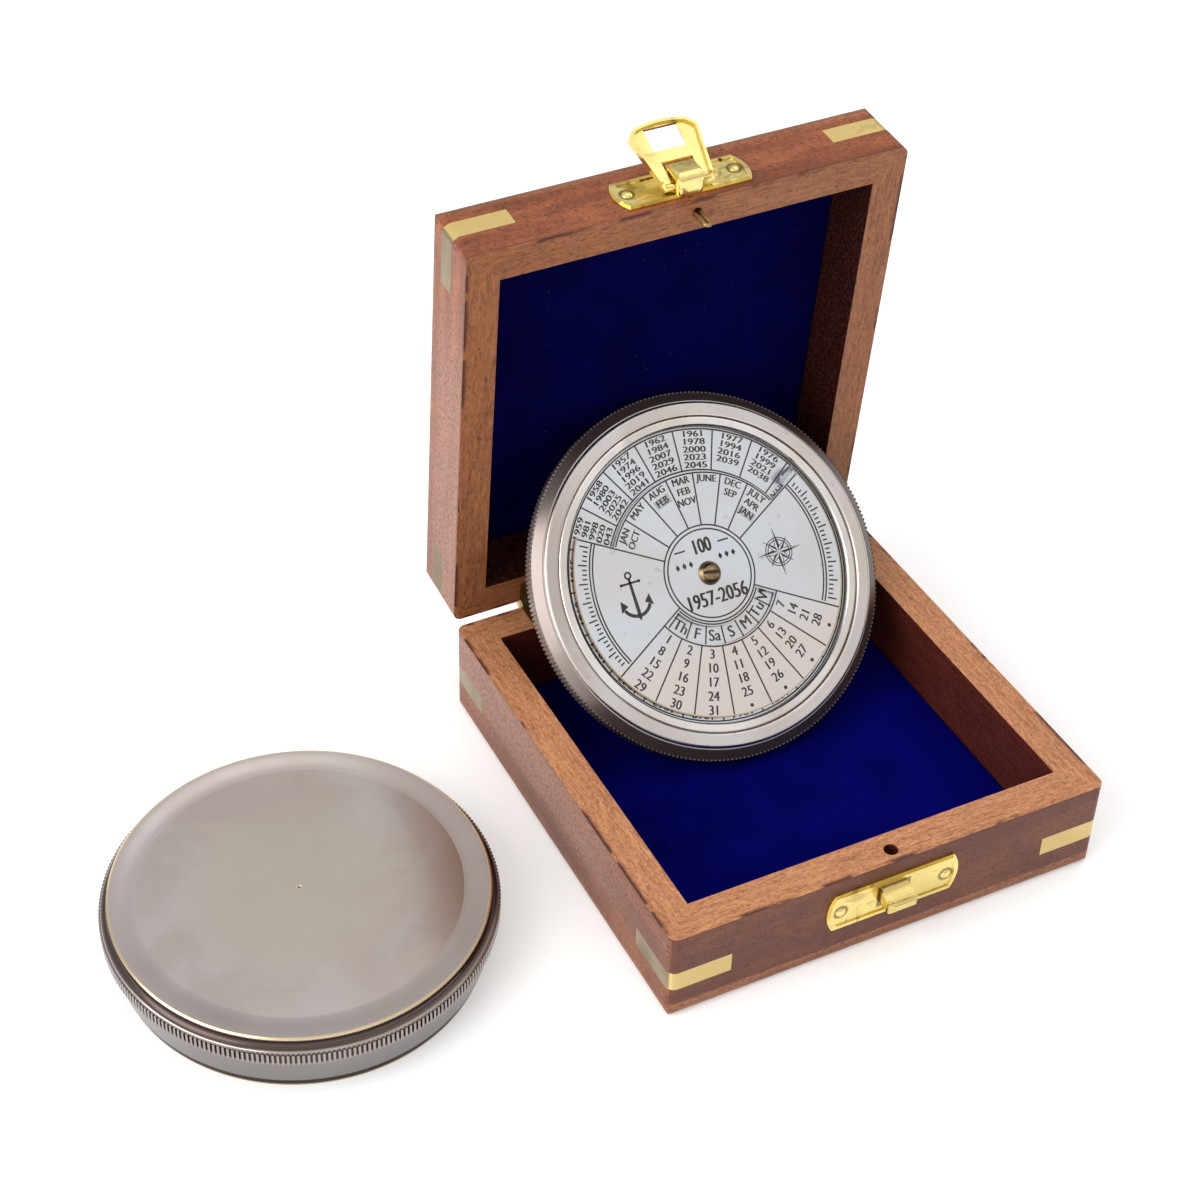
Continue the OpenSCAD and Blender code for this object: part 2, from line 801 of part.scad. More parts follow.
// Pressed nose that the hasp's window drops over
module catch_nose() {
    top_z = base_h - nose_top;
    tip_z = base_h - nose_tip;
    low_z = base_h - nose_low;
    foot_z = base_h - nose_foot;
    face_y = front_y - plate_t + panel_d;
    tip = arc(front_y - nose_out + nose_tip_r, tip_z, nose_tip_r, 110, 190, 4);
    intersection() {
        bar_x(2 * nose_w)
            polygon(concat(
                [[front_y - plate_t / 2, top_z]],
                bend([face_y, top_z], [front_y - nose_scoop, tip_z + nose_tip_r], tip[0]),
                tip,
                bend(tip[4], [front_y - nose_out, low_z], [face_y - nose_back / 2, foot_z]),
                [[front_y - plate_t / 2, foot_z]]
            ));
        cushion(nose_w, nose_out, foot_z, top_z, nose_round);
    }
}

module catch_plate() {
    color(brass)
        difference() {
            union() {
                front_plate(catch_plate_h, catch_plate_z);
                catch_nose();
            }
            rivet_holes(catch_plate_z + catch_plate_h / 2);
        }
}

module catch_rivets() {
    color(brass)
        rivet_pair(catch_plate_z + catch_plate_h / 2);
}

module lid_front() {
    color(wood)
        lid_frame()
            lid_wall(0);
}

module lid_right() {
    color(wood)
        lid_frame()
            lid_wall(1);
}

module lid_back() {
    color(wood)
        lid_frame()
            lid_wall(2);
}

module lid_left() {
    color(wood)
        lid_frame()
            lid_wall(3);
}

module lid_board() {
    color(wood)
        lid_frame()
            translate([0, 0, lid_z + lid_h])
                rotate([180, 0, 0])
                    eased_board(case_w, case_d, top_t, edge_r);
}

module lid_velvet() {
    color(velvet)
        lid_frame()
            translate([-well_w / 2 + pad_play, -well_d / 2 + pad_play, lid_z + lid_wall_h - lid_pad_t])
                cube([well_w - 2 * pad_play, well_d - 2 * pad_play, lid_pad_t]);
}

module lid_inlays() {
    color(brass)
        lid_frame()
            translate([0, 0, lid_z + lid_h - lid_inlay_z - inlay_h / 2])
                linear_extrude(inlay_h)
                    inlay_plan(0);
}

module lid_hinge_leaves() {
    color(brass)
        lid_frame()
            leaf(true);
}

module lid_hinge_screws() {
    color(brass)
        lid_frame()
            hinge_screw_at(true)
                hinge_screw();
}

// Bent wire loop that drops into the base's rim
module locating_pin() {
    straight = loop_h - loop_w / 2 - wire_r;
    color(brass)
        lid_frame()
            translate([pin_x, pin_y, lid_z - straight]) {
                for (s = [-1, 1])
                    translate([s * loop_w / 2, 0, 0])
                        cylinder(r = wire_r, h = straight + loop_root);
                rotate([-90, 0, 0])
                    rotate_extrude(angle = 180)
                        translate([loop_w / 2, 0])
                            circle(wire_r);
            }
}

// Section of the curl: its near bend, its sloping back and its far bend
function curl_section(inset, foot) =
    let (
        near = [front_y - curl_out + curl_r, hasp_z - curl_near + curl_r],
        far = [front_y - curl_back + curl_r, hasp_z + curl_far - curl_r],
        slope = 90 + atan2(far[1] - near[1], far[0] - near[0])
    )
    concat(
        [[foot, near[1] - curl_r + inset]],
        arc(near[0], near[1], curl_r - inset, 270, slope, 8),
        arc(far[0], far[1], curl_r - inset, slope, 90, 4),
        [[foot, far[1] + curl_r - inset]]
    );

// Curl of sheet around the hasp's bar, with hollow ends
module hasp_curl() {
    hollow = curl_hollow + over;
    difference() {
        intersection() {
            bar_x(2 * curl_w)
                polygon(curl_section(0, front_y - plate_t / 2));
            cushion(curl_w, curl_out, hasp_z - curl_near, hasp_z + curl_far, curl_round);
        }
        for (s = [-1, 1])
            translate([s * (curl_w / 2 - curl_hollow + hollow / 2), 0, 0])
                bar_x(hollow)
                    polygon(curl_section(curl_t, front_y - plate_t));
        translate([-curl_w, hasp_y, hasp_z])
            rotate([0, 90, 0])
                cylinder(r = hasp_bar_r + bar_play, h = 2 * curl_w);
    }
}

module hasp_plate() {
    color(brass)
        lid_frame()
            difference() {
                union() {
                    front_plate(hasp_plate_h, hasp_plate_z);
                    hasp_curl();
                }
                rivet_holes(hasp_plate_z + hasp_plate_h / 2);
                translate([nail_x, front_y + over, lid_z + nail_up])
                    rotate([90, 0, 0])
                        cylinder(r = nail_r, h = plate_t + 2 * over);
                translate([-curl_w, hasp_y, hasp_z])
                    rotate([0, 90, 0])
                        cylinder(r = hasp_bar_r + bar_play, h = 2 * curl_w);
            }
}

module hasp_rivets() {
    color(brass)
        lid_frame()
            rivet_pair(hasp_plate_z + hasp_plate_h / 2);
}

// Plan of the hasp: its axis along X at the origin, its free end at +Y
module hasp_plan(inset) {
    intersection() {
        polygon([
            [-hasp_near_w / 2 + inset, -hasp_bar_r],
            [hasp_near_w / 2 - inset, -hasp_bar_r],
            [hasp_far_w / 2 - inset, hasp_len - inset],
            [-hasp_far_w / 2 + inset, hasp_len - inset]
        ]);
        translate([0, hasp_len - hasp_end_r - inset])
            circle(hasp_end_r);
        translate([0, hasp_len / 2 - hasp_round_in])
            circle(hasp_round_r - inset);
    }
}

module hasp() {
    color(brass)
        lid_frame()
            translate([0, hasp_y, hasp_z])
                rotate([90 + hasp_rest, 0, 0])
                    union() {
                        difference() {
                            union() {
                                translate([0, 0, -hasp_t / 2])
                                    linear_extrude(hasp_t)
                                        hasp_plan(0);
                                difference() {
                                    linear_extrude(hasp_edge_d + hasp_t / 2)
                                        hasp_plan(0);
                                    translate([0, 0, -over])
                                        linear_extrude(hasp_edge_d + hasp_t + 2 * over)
                                            hasp_plan(hasp_edge_w);
                                    translate([-hasp_far_w, -2 * over - hasp_bar_r, -over])
                                        cube([2 * hasp_far_w, 3 * over + hasp_bar_r, 2 * over + hasp_edge_d]);
                                }
                            }
                            translate([-window_w / 2, window_from, -over])
                                cube([window_w, window_to - window_from, 2 * over]);
                            translate([-slot_w / 2, -over - hasp_bar_r, -2 * over])
                                cube([slot_w, slot_to + over + hasp_bar_r, 4 * over]);
                        }
                        translate([-hasp_near_w / 2 + bar_end, 0, 0])
                            rotate([0, 90, 0])
                                cylinder(r = hasp_bar_r, h = hasp_near_w - 2 * bar_end);
                    }
}

module calendar_shell() {
    core_r = flange_r - tooth_d;
    rim_z = -cal_t + cal_bevel + cal_knurl_h;
    color(silver)
        calendar_frame() {
            rotate_extrude()
                polygon(concat(
                    [[pivot_r + seat_play, web_z], [skirt_r, web_z], [skirt_r, -cal_t]],
                    [[core_r - cal_bevel, -cal_t], [core_r, -cal_t + cal_bevel], [core_r, rim_z]],
                    [[ring_r + ring_foot, -ring_round - over_cut]],
                    arc(ring_r - ring_round, -ring_round, ring_round, 0, 90),
                    arc(bezel_r + ring_in_round, -ring_in_round, ring_in_round, 90, 180, 4),
                    [[bezel_r, web_top], [pivot_r + seat_play, web_top]]
                ));
            translate([0, 0, -cal_t + cal_bevel])
                linear_extrude(cal_knurl_h - 2 * over_cut)
                    difference() {
                        polygon(knurl_points(flange_r, tooth_d + over_cut, cal_teeth));
                        circle(skirt_r + groove_h);
                    }
        }
}

module calendar_bezel() {
    in_r = dial_r + dial_play;
    color(silver)
        calendar_frame()
            rotate_extrude()
                polygon(concat(
                    [[in_r, web_top], [bezel_r, web_top]],
                    arc(bezel_r - bezel_round, -bezel_drop - bezel_round, bezel_round, 0, 90, 4),
                    [[in_r + bezel_bevel, -bezel_drop], [in_r, -bezel_drop - bezel_bevel]]
                ));
}

module year_plate() {
    color(silver)
        calendar_frame()
            translate([0, 0, web_top])
                linear_extrude(year_t)
                    difference() {
                        circle(dial_r);
                        circle(pivot_r + seat_play);
                    }
}

module calendar_spacer() {
    color(brass)
        calendar_frame()
            translate([0, 0, spacer_z])
                linear_extrude(spacer_t)
                    difference() {
                        circle(spacer_r);
                        circle(pivot_r + seat_play);
                    }
}

module pivot_screw() {
    head_z = turn_top + turn_play;
    crown_r = (pivot_head_r * pivot_head_r + pivot_head_h * pivot_head_h) / (2 * pivot_head_h);
    head = arc(0, pivot_head_h - crown_r, crown_r, 90 - asin(pivot_head_r / crown_r), 90);
    color(brass)
        calendar_frame() {
            difference() {
                translate([0, 0, head_z])
                    rotate_extrude()
                        polygon(concat([[0, 0]], head));
                rotate([0, 0, drive_turn])
                    translate([-pivot_head_r, -drive_w / 2, head_z + pivot_head_h - drive_d])
                        cube([2 * pivot_head_r, drive_w, drive_d + over]);
            }
            translate([0, 0, web_z - nut_t - shank_end])
                cylinder(r = pivot_r, h = head_z - web_z + nut_t + shank_end + eps);
        }
}

module pivot_nut() {
    color(brass)
        calendar_frame()
            translate([0, 0, web_z - nut_t])
                linear_extrude(nut_t)
                    difference() {
                        circle(nut_w / 2, $fn = 6);
                        circle(pivot_r + seat_play);
                    }
}

module turning_plate() {
    half = month_spread / 2;
    outer_bend = tab_bend + turn_t;
    along = tab_len * [cos(tab_lean), sin(tab_lean)];
    upper = arc(0, outer_bend, tab_bend, 270, 270 + tab_lean, 5);
    lower = arc(0, outer_bend, outer_bend, 270 + tab_lean, 270, 5);
    reach = lower[0][0] + along[0];
    color(silver)
        calendar_frame()
            rotate([0, 0, turn_rest])
                translate([0, 0, turn_z]) {
                    linear_extrude(turn_t)
                        difference() {
                            union() {
                                circle(month_r);
                                intersection() {
                                    circle(turn_r);
                                    polygon(wedge_points(turn_r, 90 + half, 450 - half));
                                }
                            }
                            intersection() {
                                difference() {
                                    circle(days_out_r);
                                    circle(days_in_r);
                                }
                                polygon(wedge_points(turn_r, 270 - days_spread / 2, 270 + days_spread / 2));
                            }
                            circle(pivot_r + pivot_play);
                        }
                    rotate([0, 0, 90 - half])
                        translate([tab_r, 0, 0])
                            intersection() {
                                bar_x(tab_w)
                                    polygon(concat(
                                        [[-turn_t / 2, turn_t]],
                                        upper,
                                        [upper[5] + along, lower[0] + along],
                                        lower,
                                        [[-turn_t / 2, 0]]
                                    ));
                                linear_extrude(outer_bend + tab_len)
                                    rounded_plan(tab_w, 2 * reach, tab_round);
                            }
                }
}

module bowl_shell() {
    side_z = mouth_h + groove_h;
    low = bowl_h - knurl_from;
    high = bowl_h - knurl_to;
    core_r = bowl_knurl_r - tooth_d;
    color(silver)
        bowl_frame()
            difference() {
                union() {
                    rotate_extrude()
                        polygon(concat(
                            [[mouth_in_r, 0], [mouth_r - bowl_bevel, 0], [mouth_r, bowl_bevel], [mouth_r, mouth_h]],
                            [[mouth_r - groove_d, mouth_h], [mouth_r - groove_d, side_z]],
                            [[side_low_r, side_z]],
                            [[side_high_r, low - bowl_bevel], [core_r, low], [core_r, high]],
                            arc(core_r - bead_r, high, bead_r, 0, 90, 4),
                            arc(core_r - bead_r, high + bead_r + cove_r, cove_r, 270, 180, 5),
                            [[face_r, bowl_h - face_bevel_h - face_edge], [face_r, bowl_h - face_bevel_h]],
                            [[face_r - face_bevel, bowl_h]],
                            [[flat_r, bowl_h - dish_d], [0, bowl_h - dish_d], [0, inner_z]],
                            [[bowl_in_r, inner_z], [bowl_in_r, glass_seat_z], [mouth_in_r, glass_seat_z]]
                        ));
                    translate([0, 0, low])
                        linear_extrude(high - low)
                            difference() {
                                polygon(knurl_points(bowl_knurl_r, tooth_d + over_cut, bowl_teeth));
                                circle(bowl_in_r + 1);
                            }
                }
                translate([0, 0, bowl_h - dish_d - punch_r])
                    cylinder(r1 = 0, r2 = punch_r * 2, h = punch_r * 2);
            }
}

module compass_card() {
    color([0.9, 0.88, 0.8])
        bowl_frame()
            translate([0, 0, card_z])
                linear_extrude(card_t)
                    difference() {
                        circle(bowl_in_r - card_play);
                        circle(post_r + seat_play);
                    }
}

module pivot_pin() {
    color(brass)
        bowl_frame() {
            translate([0, 0, post_tip_z + post_r])
                cylinder(r = post_r, h = post_len + card_t - post_r);
            translate([0, 0, post_tip_z])
                cylinder(r1 = post_r / 5, r2 = post_r, h = post_r);
            translate([0, 0, card_z - post_foot_h])
                cylinder(r = post_foot_r, h = post_foot_h);
        }
}

module compass_glass() {
    color([0.8, 0.9, 0.9, 0.4])
        bowl_frame()
            translate([0, 0, glass_seat_z - glass_t])
                cylinder(r = mouth_in_r - card_play, h = glass_t);
}

module glass_ring() {
    color(brass)
        bowl_frame()
            translate([0, 0, glass_seat_z - glass_t - glass_ring_t])
                linear_extrude(glass_ring_t)
                    difference() {
                        circle(mouth_in_r - seat_play);
                        circle(glass_ring_r);
                    }
}

module needle_blade() {
    color(steel)
        bowl_frame()
            translate([0, 0, needle_z - needle_t / 2])
                rotate([0, 0, needle_turn])
                    linear_extrude(needle_t)
                        difference() {
                            polygon([
                                [-needle_len / 2, 0],
                                [0, -needle_w / 2],
                                [needle_len / 2, 0],
                                [0, needle_w / 2]
                            ]);
                            circle(cap_neck_r);
                        }
}

module needle_cap() {
    neck_r = cap_neck_r;
    color(brass)
        bowl_frame()
            translate([0, 0, cap_z])
                rotate_extrude()
                    polygon([
                        [0, 0],
                        [cap_r, 0],
                        [cap_r, cap_h / 2 - needle_t / 2],
                        [neck_r, cap_h / 2 - needle_t / 2],
                        [neck_r, cap_h],
                        [post_r + post_play, cap_h],
                        [post_r + post_play, cap_crown],
                        [0, cap_crown - cap_dip]
                    ]);
}

base_front();
base_back();
base_left();
base_right();
base_board();
base_velvet();
base_inlays();
base_hinge_leaves();
base_hinge_screws();
hinge_pins();
catch_plate();
catch_rivets();
lid_front();
lid_back();
lid_left();
lid_right();
lid_board();
lid_velvet();
lid_inlays();
lid_hinge_leaves();
lid_hinge_screws();
locating_pin();
hasp_plate();
hasp_rivets();
hasp();
calendar_shell();
calendar_bezel();
year_plate();
calendar_spacer();
pivot_screw();
pivot_nut();
turning_plate();
bowl_shell();
compass_card();
pivot_pin();
compass_glass();
glass_ring();
needle_blade();
needle_cap();
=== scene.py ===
"""Looks of a perpetual calendar compass in its hinged wooden case."""

import logging
import math
from collections.abc import Callable
from dataclasses import dataclass
from enum import Enum

import bpy
from bpy.types import Material, Node, NodeSocket, NodeTree, Object
from mathutils import Matrix, Vector


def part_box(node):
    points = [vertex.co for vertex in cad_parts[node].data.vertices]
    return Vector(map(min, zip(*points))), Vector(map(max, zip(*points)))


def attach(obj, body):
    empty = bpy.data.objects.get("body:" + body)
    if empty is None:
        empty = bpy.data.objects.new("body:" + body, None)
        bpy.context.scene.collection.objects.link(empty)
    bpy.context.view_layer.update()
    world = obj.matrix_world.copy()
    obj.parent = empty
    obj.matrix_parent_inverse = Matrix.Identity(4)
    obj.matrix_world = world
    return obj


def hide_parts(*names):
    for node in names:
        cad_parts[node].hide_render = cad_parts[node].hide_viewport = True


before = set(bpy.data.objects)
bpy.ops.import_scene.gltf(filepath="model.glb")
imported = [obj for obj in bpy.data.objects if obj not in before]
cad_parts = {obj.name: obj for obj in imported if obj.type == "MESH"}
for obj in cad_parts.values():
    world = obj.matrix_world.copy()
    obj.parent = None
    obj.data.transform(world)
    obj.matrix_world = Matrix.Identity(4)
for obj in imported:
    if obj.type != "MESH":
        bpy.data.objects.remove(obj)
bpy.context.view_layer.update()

LOG = logging.getLogger("calendar_compass")
MM = 0.001
PER_MM = 1.0 / MM
# Cells around the year plate, and the width of one in degrees.
CELLS = 21
CELL = 360.0 / CELLS
# The hinge's axis, and where the outer faces begin to the left, right and front of the case's middle, in metres.
HINGE = (0.0, 0.0509, 0.02255)
OUTER_WALL = (0.0494, 0.0498)

Point = tuple[float, float]
Triple = tuple[float, float, float]
Colour = Triple
Outline = list[Point]
Shapes = list[list[Outline]]
Sockets = dict[str | int, object]


class GrainRun(Enum):
    """Which way the wood's fibres run with the case shut: stretch and turn of the wood's coordinates."""

    ACROSS = ((120.0, 1000.0, 1000.0), (0.0, 0.0, 0.0))
    DEEP = ((1000.0, 120.0, 1000.0), (0.0, 0.0, math.pi / 2))


class CaseHalf(Enum):
    """Half of the case that a board belongs to, with its lean in the photographed pose in degrees."""

    BASE = 0.0
    LID = -85.0


class Reading(Enum):
    """Where the top of a figure points on a dial, as a turn of its base line in degrees."""

    OUTWARD = -90.0
    INWARD = 90.0


# Shader nodes


class Sketch:
    """Adds and links shader nodes in one tree."""

    def __init__(self, tree: NodeTree) -> None:
        """Start on an empty tree."""
        self.tree = tree
        tree.nodes.clear()

    def feed(self, target: NodeSocket, value: object) -> None:
        """Link a signal to a socket, or set a plain value on it.

        Args:
            target: The socket.
            value: The signal or the value.
        """
        if isinstance(value, Signal):
            self.tree.links.new(value.socket, target)
        else:
            target.default_value = value

    def add(self, kind: str, inputs: Sockets, **settings: object) -> Node:
        """Add a node.

        Args:
            kind: Node type, without the words that all shader nodes begin with.
            inputs: Signals and plain values by the name or number of the input.
            settings: Properties of the node by name.

        Returns:
            The node.
        """
        node = self.tree.nodes.new("ShaderNode" + kind)
        for key, value in settings.items():
            setattr(node, key, value)
        for key, value in inputs.items():
            self.feed(node.inputs[key], value)
        return node

    def draw(self, kind: str, inputs: Sockets, output: str | int = 0, **settings: object) -> "Signal":
        """Add a node and take one of its outputs."""
        return Signal(self, self.add(kind, inputs, **settings).outputs[output])

    def mix(self, share: "Signal", a: object, b: object) -> "Signal":
        """Mix two colours, each a signal or three numbers, by the share of the second one."""
        a, b = (colour if isinstance(colour, Signal) else (*colour, 1.0) for colour in (a, b))
        return self.draw("Mix", {0: share, 6: a, 7: b}, 2, data_type="RGBA")

    def place(self, location: Triple = (0.0, 0.0, 0.0), turn: float = 0.0) -> "Signal":
        """Object coordinates seen from a place in metres, turned about X by an angle in degrees."""
        inputs = {"Vector": self.draw("TexCoord", {}, "Object"), "Location": location}
        return self.draw("Mapping", inputs | {"Rotation": (math.radians(turn), 0.0, 0.0)}, vector_type="TEXTURE")

    def group(self, tree: NodeTree, place: "Signal") -> list["Signal"]:
        """Place a shared group at these coordinates and take all that it gives."""
        return [Signal(self, out) for out in self.add("Group", {"Place": place}, node_tree=tree).outputs]


@dataclass(frozen=True)
class Signal:
    """An output of a node, which can be reckoned with.

    Attributes:
        sketch: The sketch that the node is in.
        socket: The output.
    """

    sketch: Sketch
    socket: NodeSocket

    def reckon(self, operation: str, *values: object) -> "Signal":
        """Add a Math node."""
        return self.sketch.draw("Math", dict(enumerate(values)), operation=operation)

    def vector(self, operation: str, other: object, output: str = "Value") -> "Signal":
        """Add a Vector Math node."""
        return self.sketch.draw("VectorMath", {0: self, 1: other}, output, operation=operation)

    def __add__(self, other: object) -> "Signal":
        """Add another value."""
        return self.reckon("ADD", self, other)

    def __sub__(self, other: object) -> "Signal":
        """Take another value away."""
        return self.reckon("SUBTRACT", self, other)

    def __rsub__(self, other: object) -> "Signal":
        """Take this away from another value."""
        return self.reckon("SUBTRACT", other, self)

    def __mul__(self, other: object) -> "Signal":
        """Multiply by another value."""
        return self.reckon("MULTIPLY", self, other)

    def __neg__(self) -> "Signal":
        """Change the sign."""
        return self * -1.0

    def __abs__(self) -> "Signal":
        """Drop the sign."""
        return self.reckon("ABSOLUTE", self)

    def most(self, other: object) -> "Signal":
        """Greater one of two values."""
        return self.reckon("MAXIMUM", self, other)

    def least(self, other: object) -> "Signal":
        """Lesser one of two values."""
        return self.reckon("MINIMUM", self, other)

    def step(self, low: float, high: float) -> "Signal":
        """Smooth step from 0 at low to 1 at high."""
        inputs = {"Value": self, "From Min": low, "From Max": high}
        return self.sketch.draw("MapRange", inputs, interpolation_type="SMOOTHSTEP")

    def span(self, low: float, high: float) -> "Signal":
        """Map a value from 0..1 to low..high."""
        return self.sketch.draw("MapRange", {"Value": self, "To Min": low, "To Max": high})

    def axes(self) -> list["Signal"]:
        """Take X, Y and Z of a vector."""
        return [Signal(self.sketch, out) for out in self.sketch.add("SeparateXYZ", {0: self}).outputs]

    def stretched(self, scale: Triple, turn: Triple = (0.0, 0.0, 0.0)) -> "Signal":
        """Stretch and turn coordinates."""
        return self.sketch.draw("Mapping", {"Vector": self, "Scale": scale, "Rotation": turn})

    def noise(self, scale: float, detail: float, distortion: float = 0.0) -> "Signal":
        """Draw noise over coordinates."""
        inputs = {"Vector": self, "Scale": scale, "Detail": detail, "Distortion": distortion}
        return self.sketch.draw("TexNoise", inputs)

    def tint(self, colour: object, share: "Signal") -> "Signal":
        """Mix another colour into this one."""
        return self.sketch.mix(share, self, colour)

    def bump(self, strength: float, distance: float, under: "Signal | None" = None) -> "Signal":
        """Bend the surface's own normal, or the one under it, by this height; 1 is a distance in metres."""
        inputs = {"Height": self, "Strength": strength, "Distance": distance}
        return self.sketch.draw("Bump", inputs if under is None else inputs | {"Normal": under})


def shade(colour: Colour, share: float) -> Colour:
    """Make a colour darker or lighter."""
    return tuple(share * c for c in colour)


# Shader groups that several finishes share


def make_group(draw: Callable[[Signal], dict[str, Signal]]) -> NodeTree:
    """Make a shader group of what a function draws.

    Args:
        draw: Takes the group's coordinates and gives its values by name. The group is named after it.

    Returns:
        The group's tree.
    """
    tree = bpy.data.node_groups.new(draw.__name__, "ShaderNodeTree")
    tree.interface.new_socket(name="Place", in_out="INPUT", socket_type="NodeSocketVector")
    sketch = Sketch(tree)
    values = draw(Signal(sketch, tree.nodes.new("NodeGroupInput").outputs["Place"]))
    for key in values:
        tree.interface.new_socket(name=key, in_out="OUTPUT", socket_type="NodeSocketFloat")
    leave = tree.nodes.new("NodeGroupOutput")
    for key, value in values.items():
        sketch.feed(leave.inputs[key], value)
    return tree


def wood_figure(place: Signal) -> dict[str, Signal]:
    """Draw wood: broad bands, fibres, dark pores and fine grit.

    Args:
        place: Coordinates that run along the fibres in X, in millimetres across them.

    Returns:
        The masks.
    """
    fibres = place.noise(1.3, 4.0, 0.4) * 0.5 + place.noise(4.6, 3.0) * 0.5
    pores = place.stretched((2.6, 1.0, 1.0)).noise(2.5, 2.0, 0.3).step(0.56, 0.65)
    return {"Bands": place.noise(0.16, 3.0, 0.8).step(0.36, 0.66),
            "Fibres": fibres.step(0.3, 0.7),
            "Pores": pores * place.noise(0.45, 1.0).step(0.28, 0.6),
            "Grit": place.stretched((5.5, 1.0, 1.0)).noise(1.9, 4.0, 0.3).step(0.47, 0.63)}


def case_faces(place: Signal) -> dict[str, Signal]:
    """Tell the case's rim, inside, edges, base front, foot, left side with painted light and arrises from the rest of
    its outside.

    Args:
        place: Coordinates of the shut case in metres from the hinge's axis.

    Returns:
        The masks.
    """
    x, y, z = place.axes()
    wobble = place.noise(700.0, 2.0) * 0.0002
    level, across, deep = abs(z), abs(x), abs(y + HINGE[1])
    reach = across.most(deep)
    lined = 1.0 - reach.step(0.0428, 0.0432)
    hole = level.step(0.0004, 0.0006) * (1.0 - reach.step(0.0484, 0.0486))
    front = (-z).step(0.0, 0.001) * (-y).step(0.1, 0.1006)
    foot = (-z).step(0.0187, 0.0190)
    # Painted light on the left outer wall, stronger towards its top and away from its front.
    pale = 1.0 - level.step(0.009, 0.018) * 0.8
    bare = (-x).step(*OUTER_WALL) * y.step(-0.094, -0.060).span(0.3, 1.0)
    corner = (across.least(deep) + wobble).step(0.0492, 0.0498)
    return {"Rim": 1.0 - (level + wobble).step(0.00028, 0.00042),
            "Inside": lined.most(hole),
            "Edge": (reach + wobble).step(0.0489, 0.05),
            "Front": front * (1.0 - foot),
            "Foot": front * foot,
            "Side": pale * bare,
            "Arris": corner.most(1.0 - (level + wobble).step(0.0005, 0.0011))}


def tarnish(place: Signal) -> dict[str, Signal]:
    """Cloud metal with broad stains, small spots and fine scratches, over coordinates in metres."""
    lines = place.stretched((300.0, 5200.0, 5200.0), (0.3, 0.2, 0.5))
    return {"Clouds": place.noise(60.0, 3.0, 0.6).step(0.32, 0.7),
            "Spots": place.noise(420.0, 2.0, 0.4).step(0.66, 0.76), "Scratches": lines.noise(1.0, 2.0)}


def turned(place: Signal) -> dict[str, Signal]:
    """Give turned metal its radius, its height and the fine rings left by the lathe.

    Args:
        place: Coordinates in metres from a point of the axis, with Z along the axis.

    Returns:
        The values.
    """
    x, y, z = place.axes()
    radius = place.sketch.draw("CombineXYZ", {"X": x, "Y": y}).vector("LENGTH", (0.0, 0.0, 0.0))
    line = place.sketch.draw("CombineXYZ", {"X": radius, "Y": z})
    return {"Radius": radius, "Height": z, "Rings": line.noise(5200.0, 3.0)}


WOOD, FACES, TARNISH, TURNED = (make_group(draw) for draw in (wood_figure, case_faces, tarnish, turned))


# Finishes


@dataclass(frozen=True)
class Finish:
    """A procedural material.

    Attributes:
        name: Name of the material.
    """

    name: str

    def paint(self, s: Sketch) -> Sockets:
        """Draw the finish.

        Args:
            s: The material's sketch.

        Returns:
            What the shader's sockets take.
        """
        raise NotImplementedError

    def material(self) -> Material:
        """Build the material.

        Returns:
            The material.
        """
        material = bpy.data.materials.new(self.name)
        material.use_nodes = True
        s = Sketch(material.node_tree)
        s.add("OutputMaterial", {"Surface": s.draw("BsdfPrincipled", self.paint(s))})
        return material


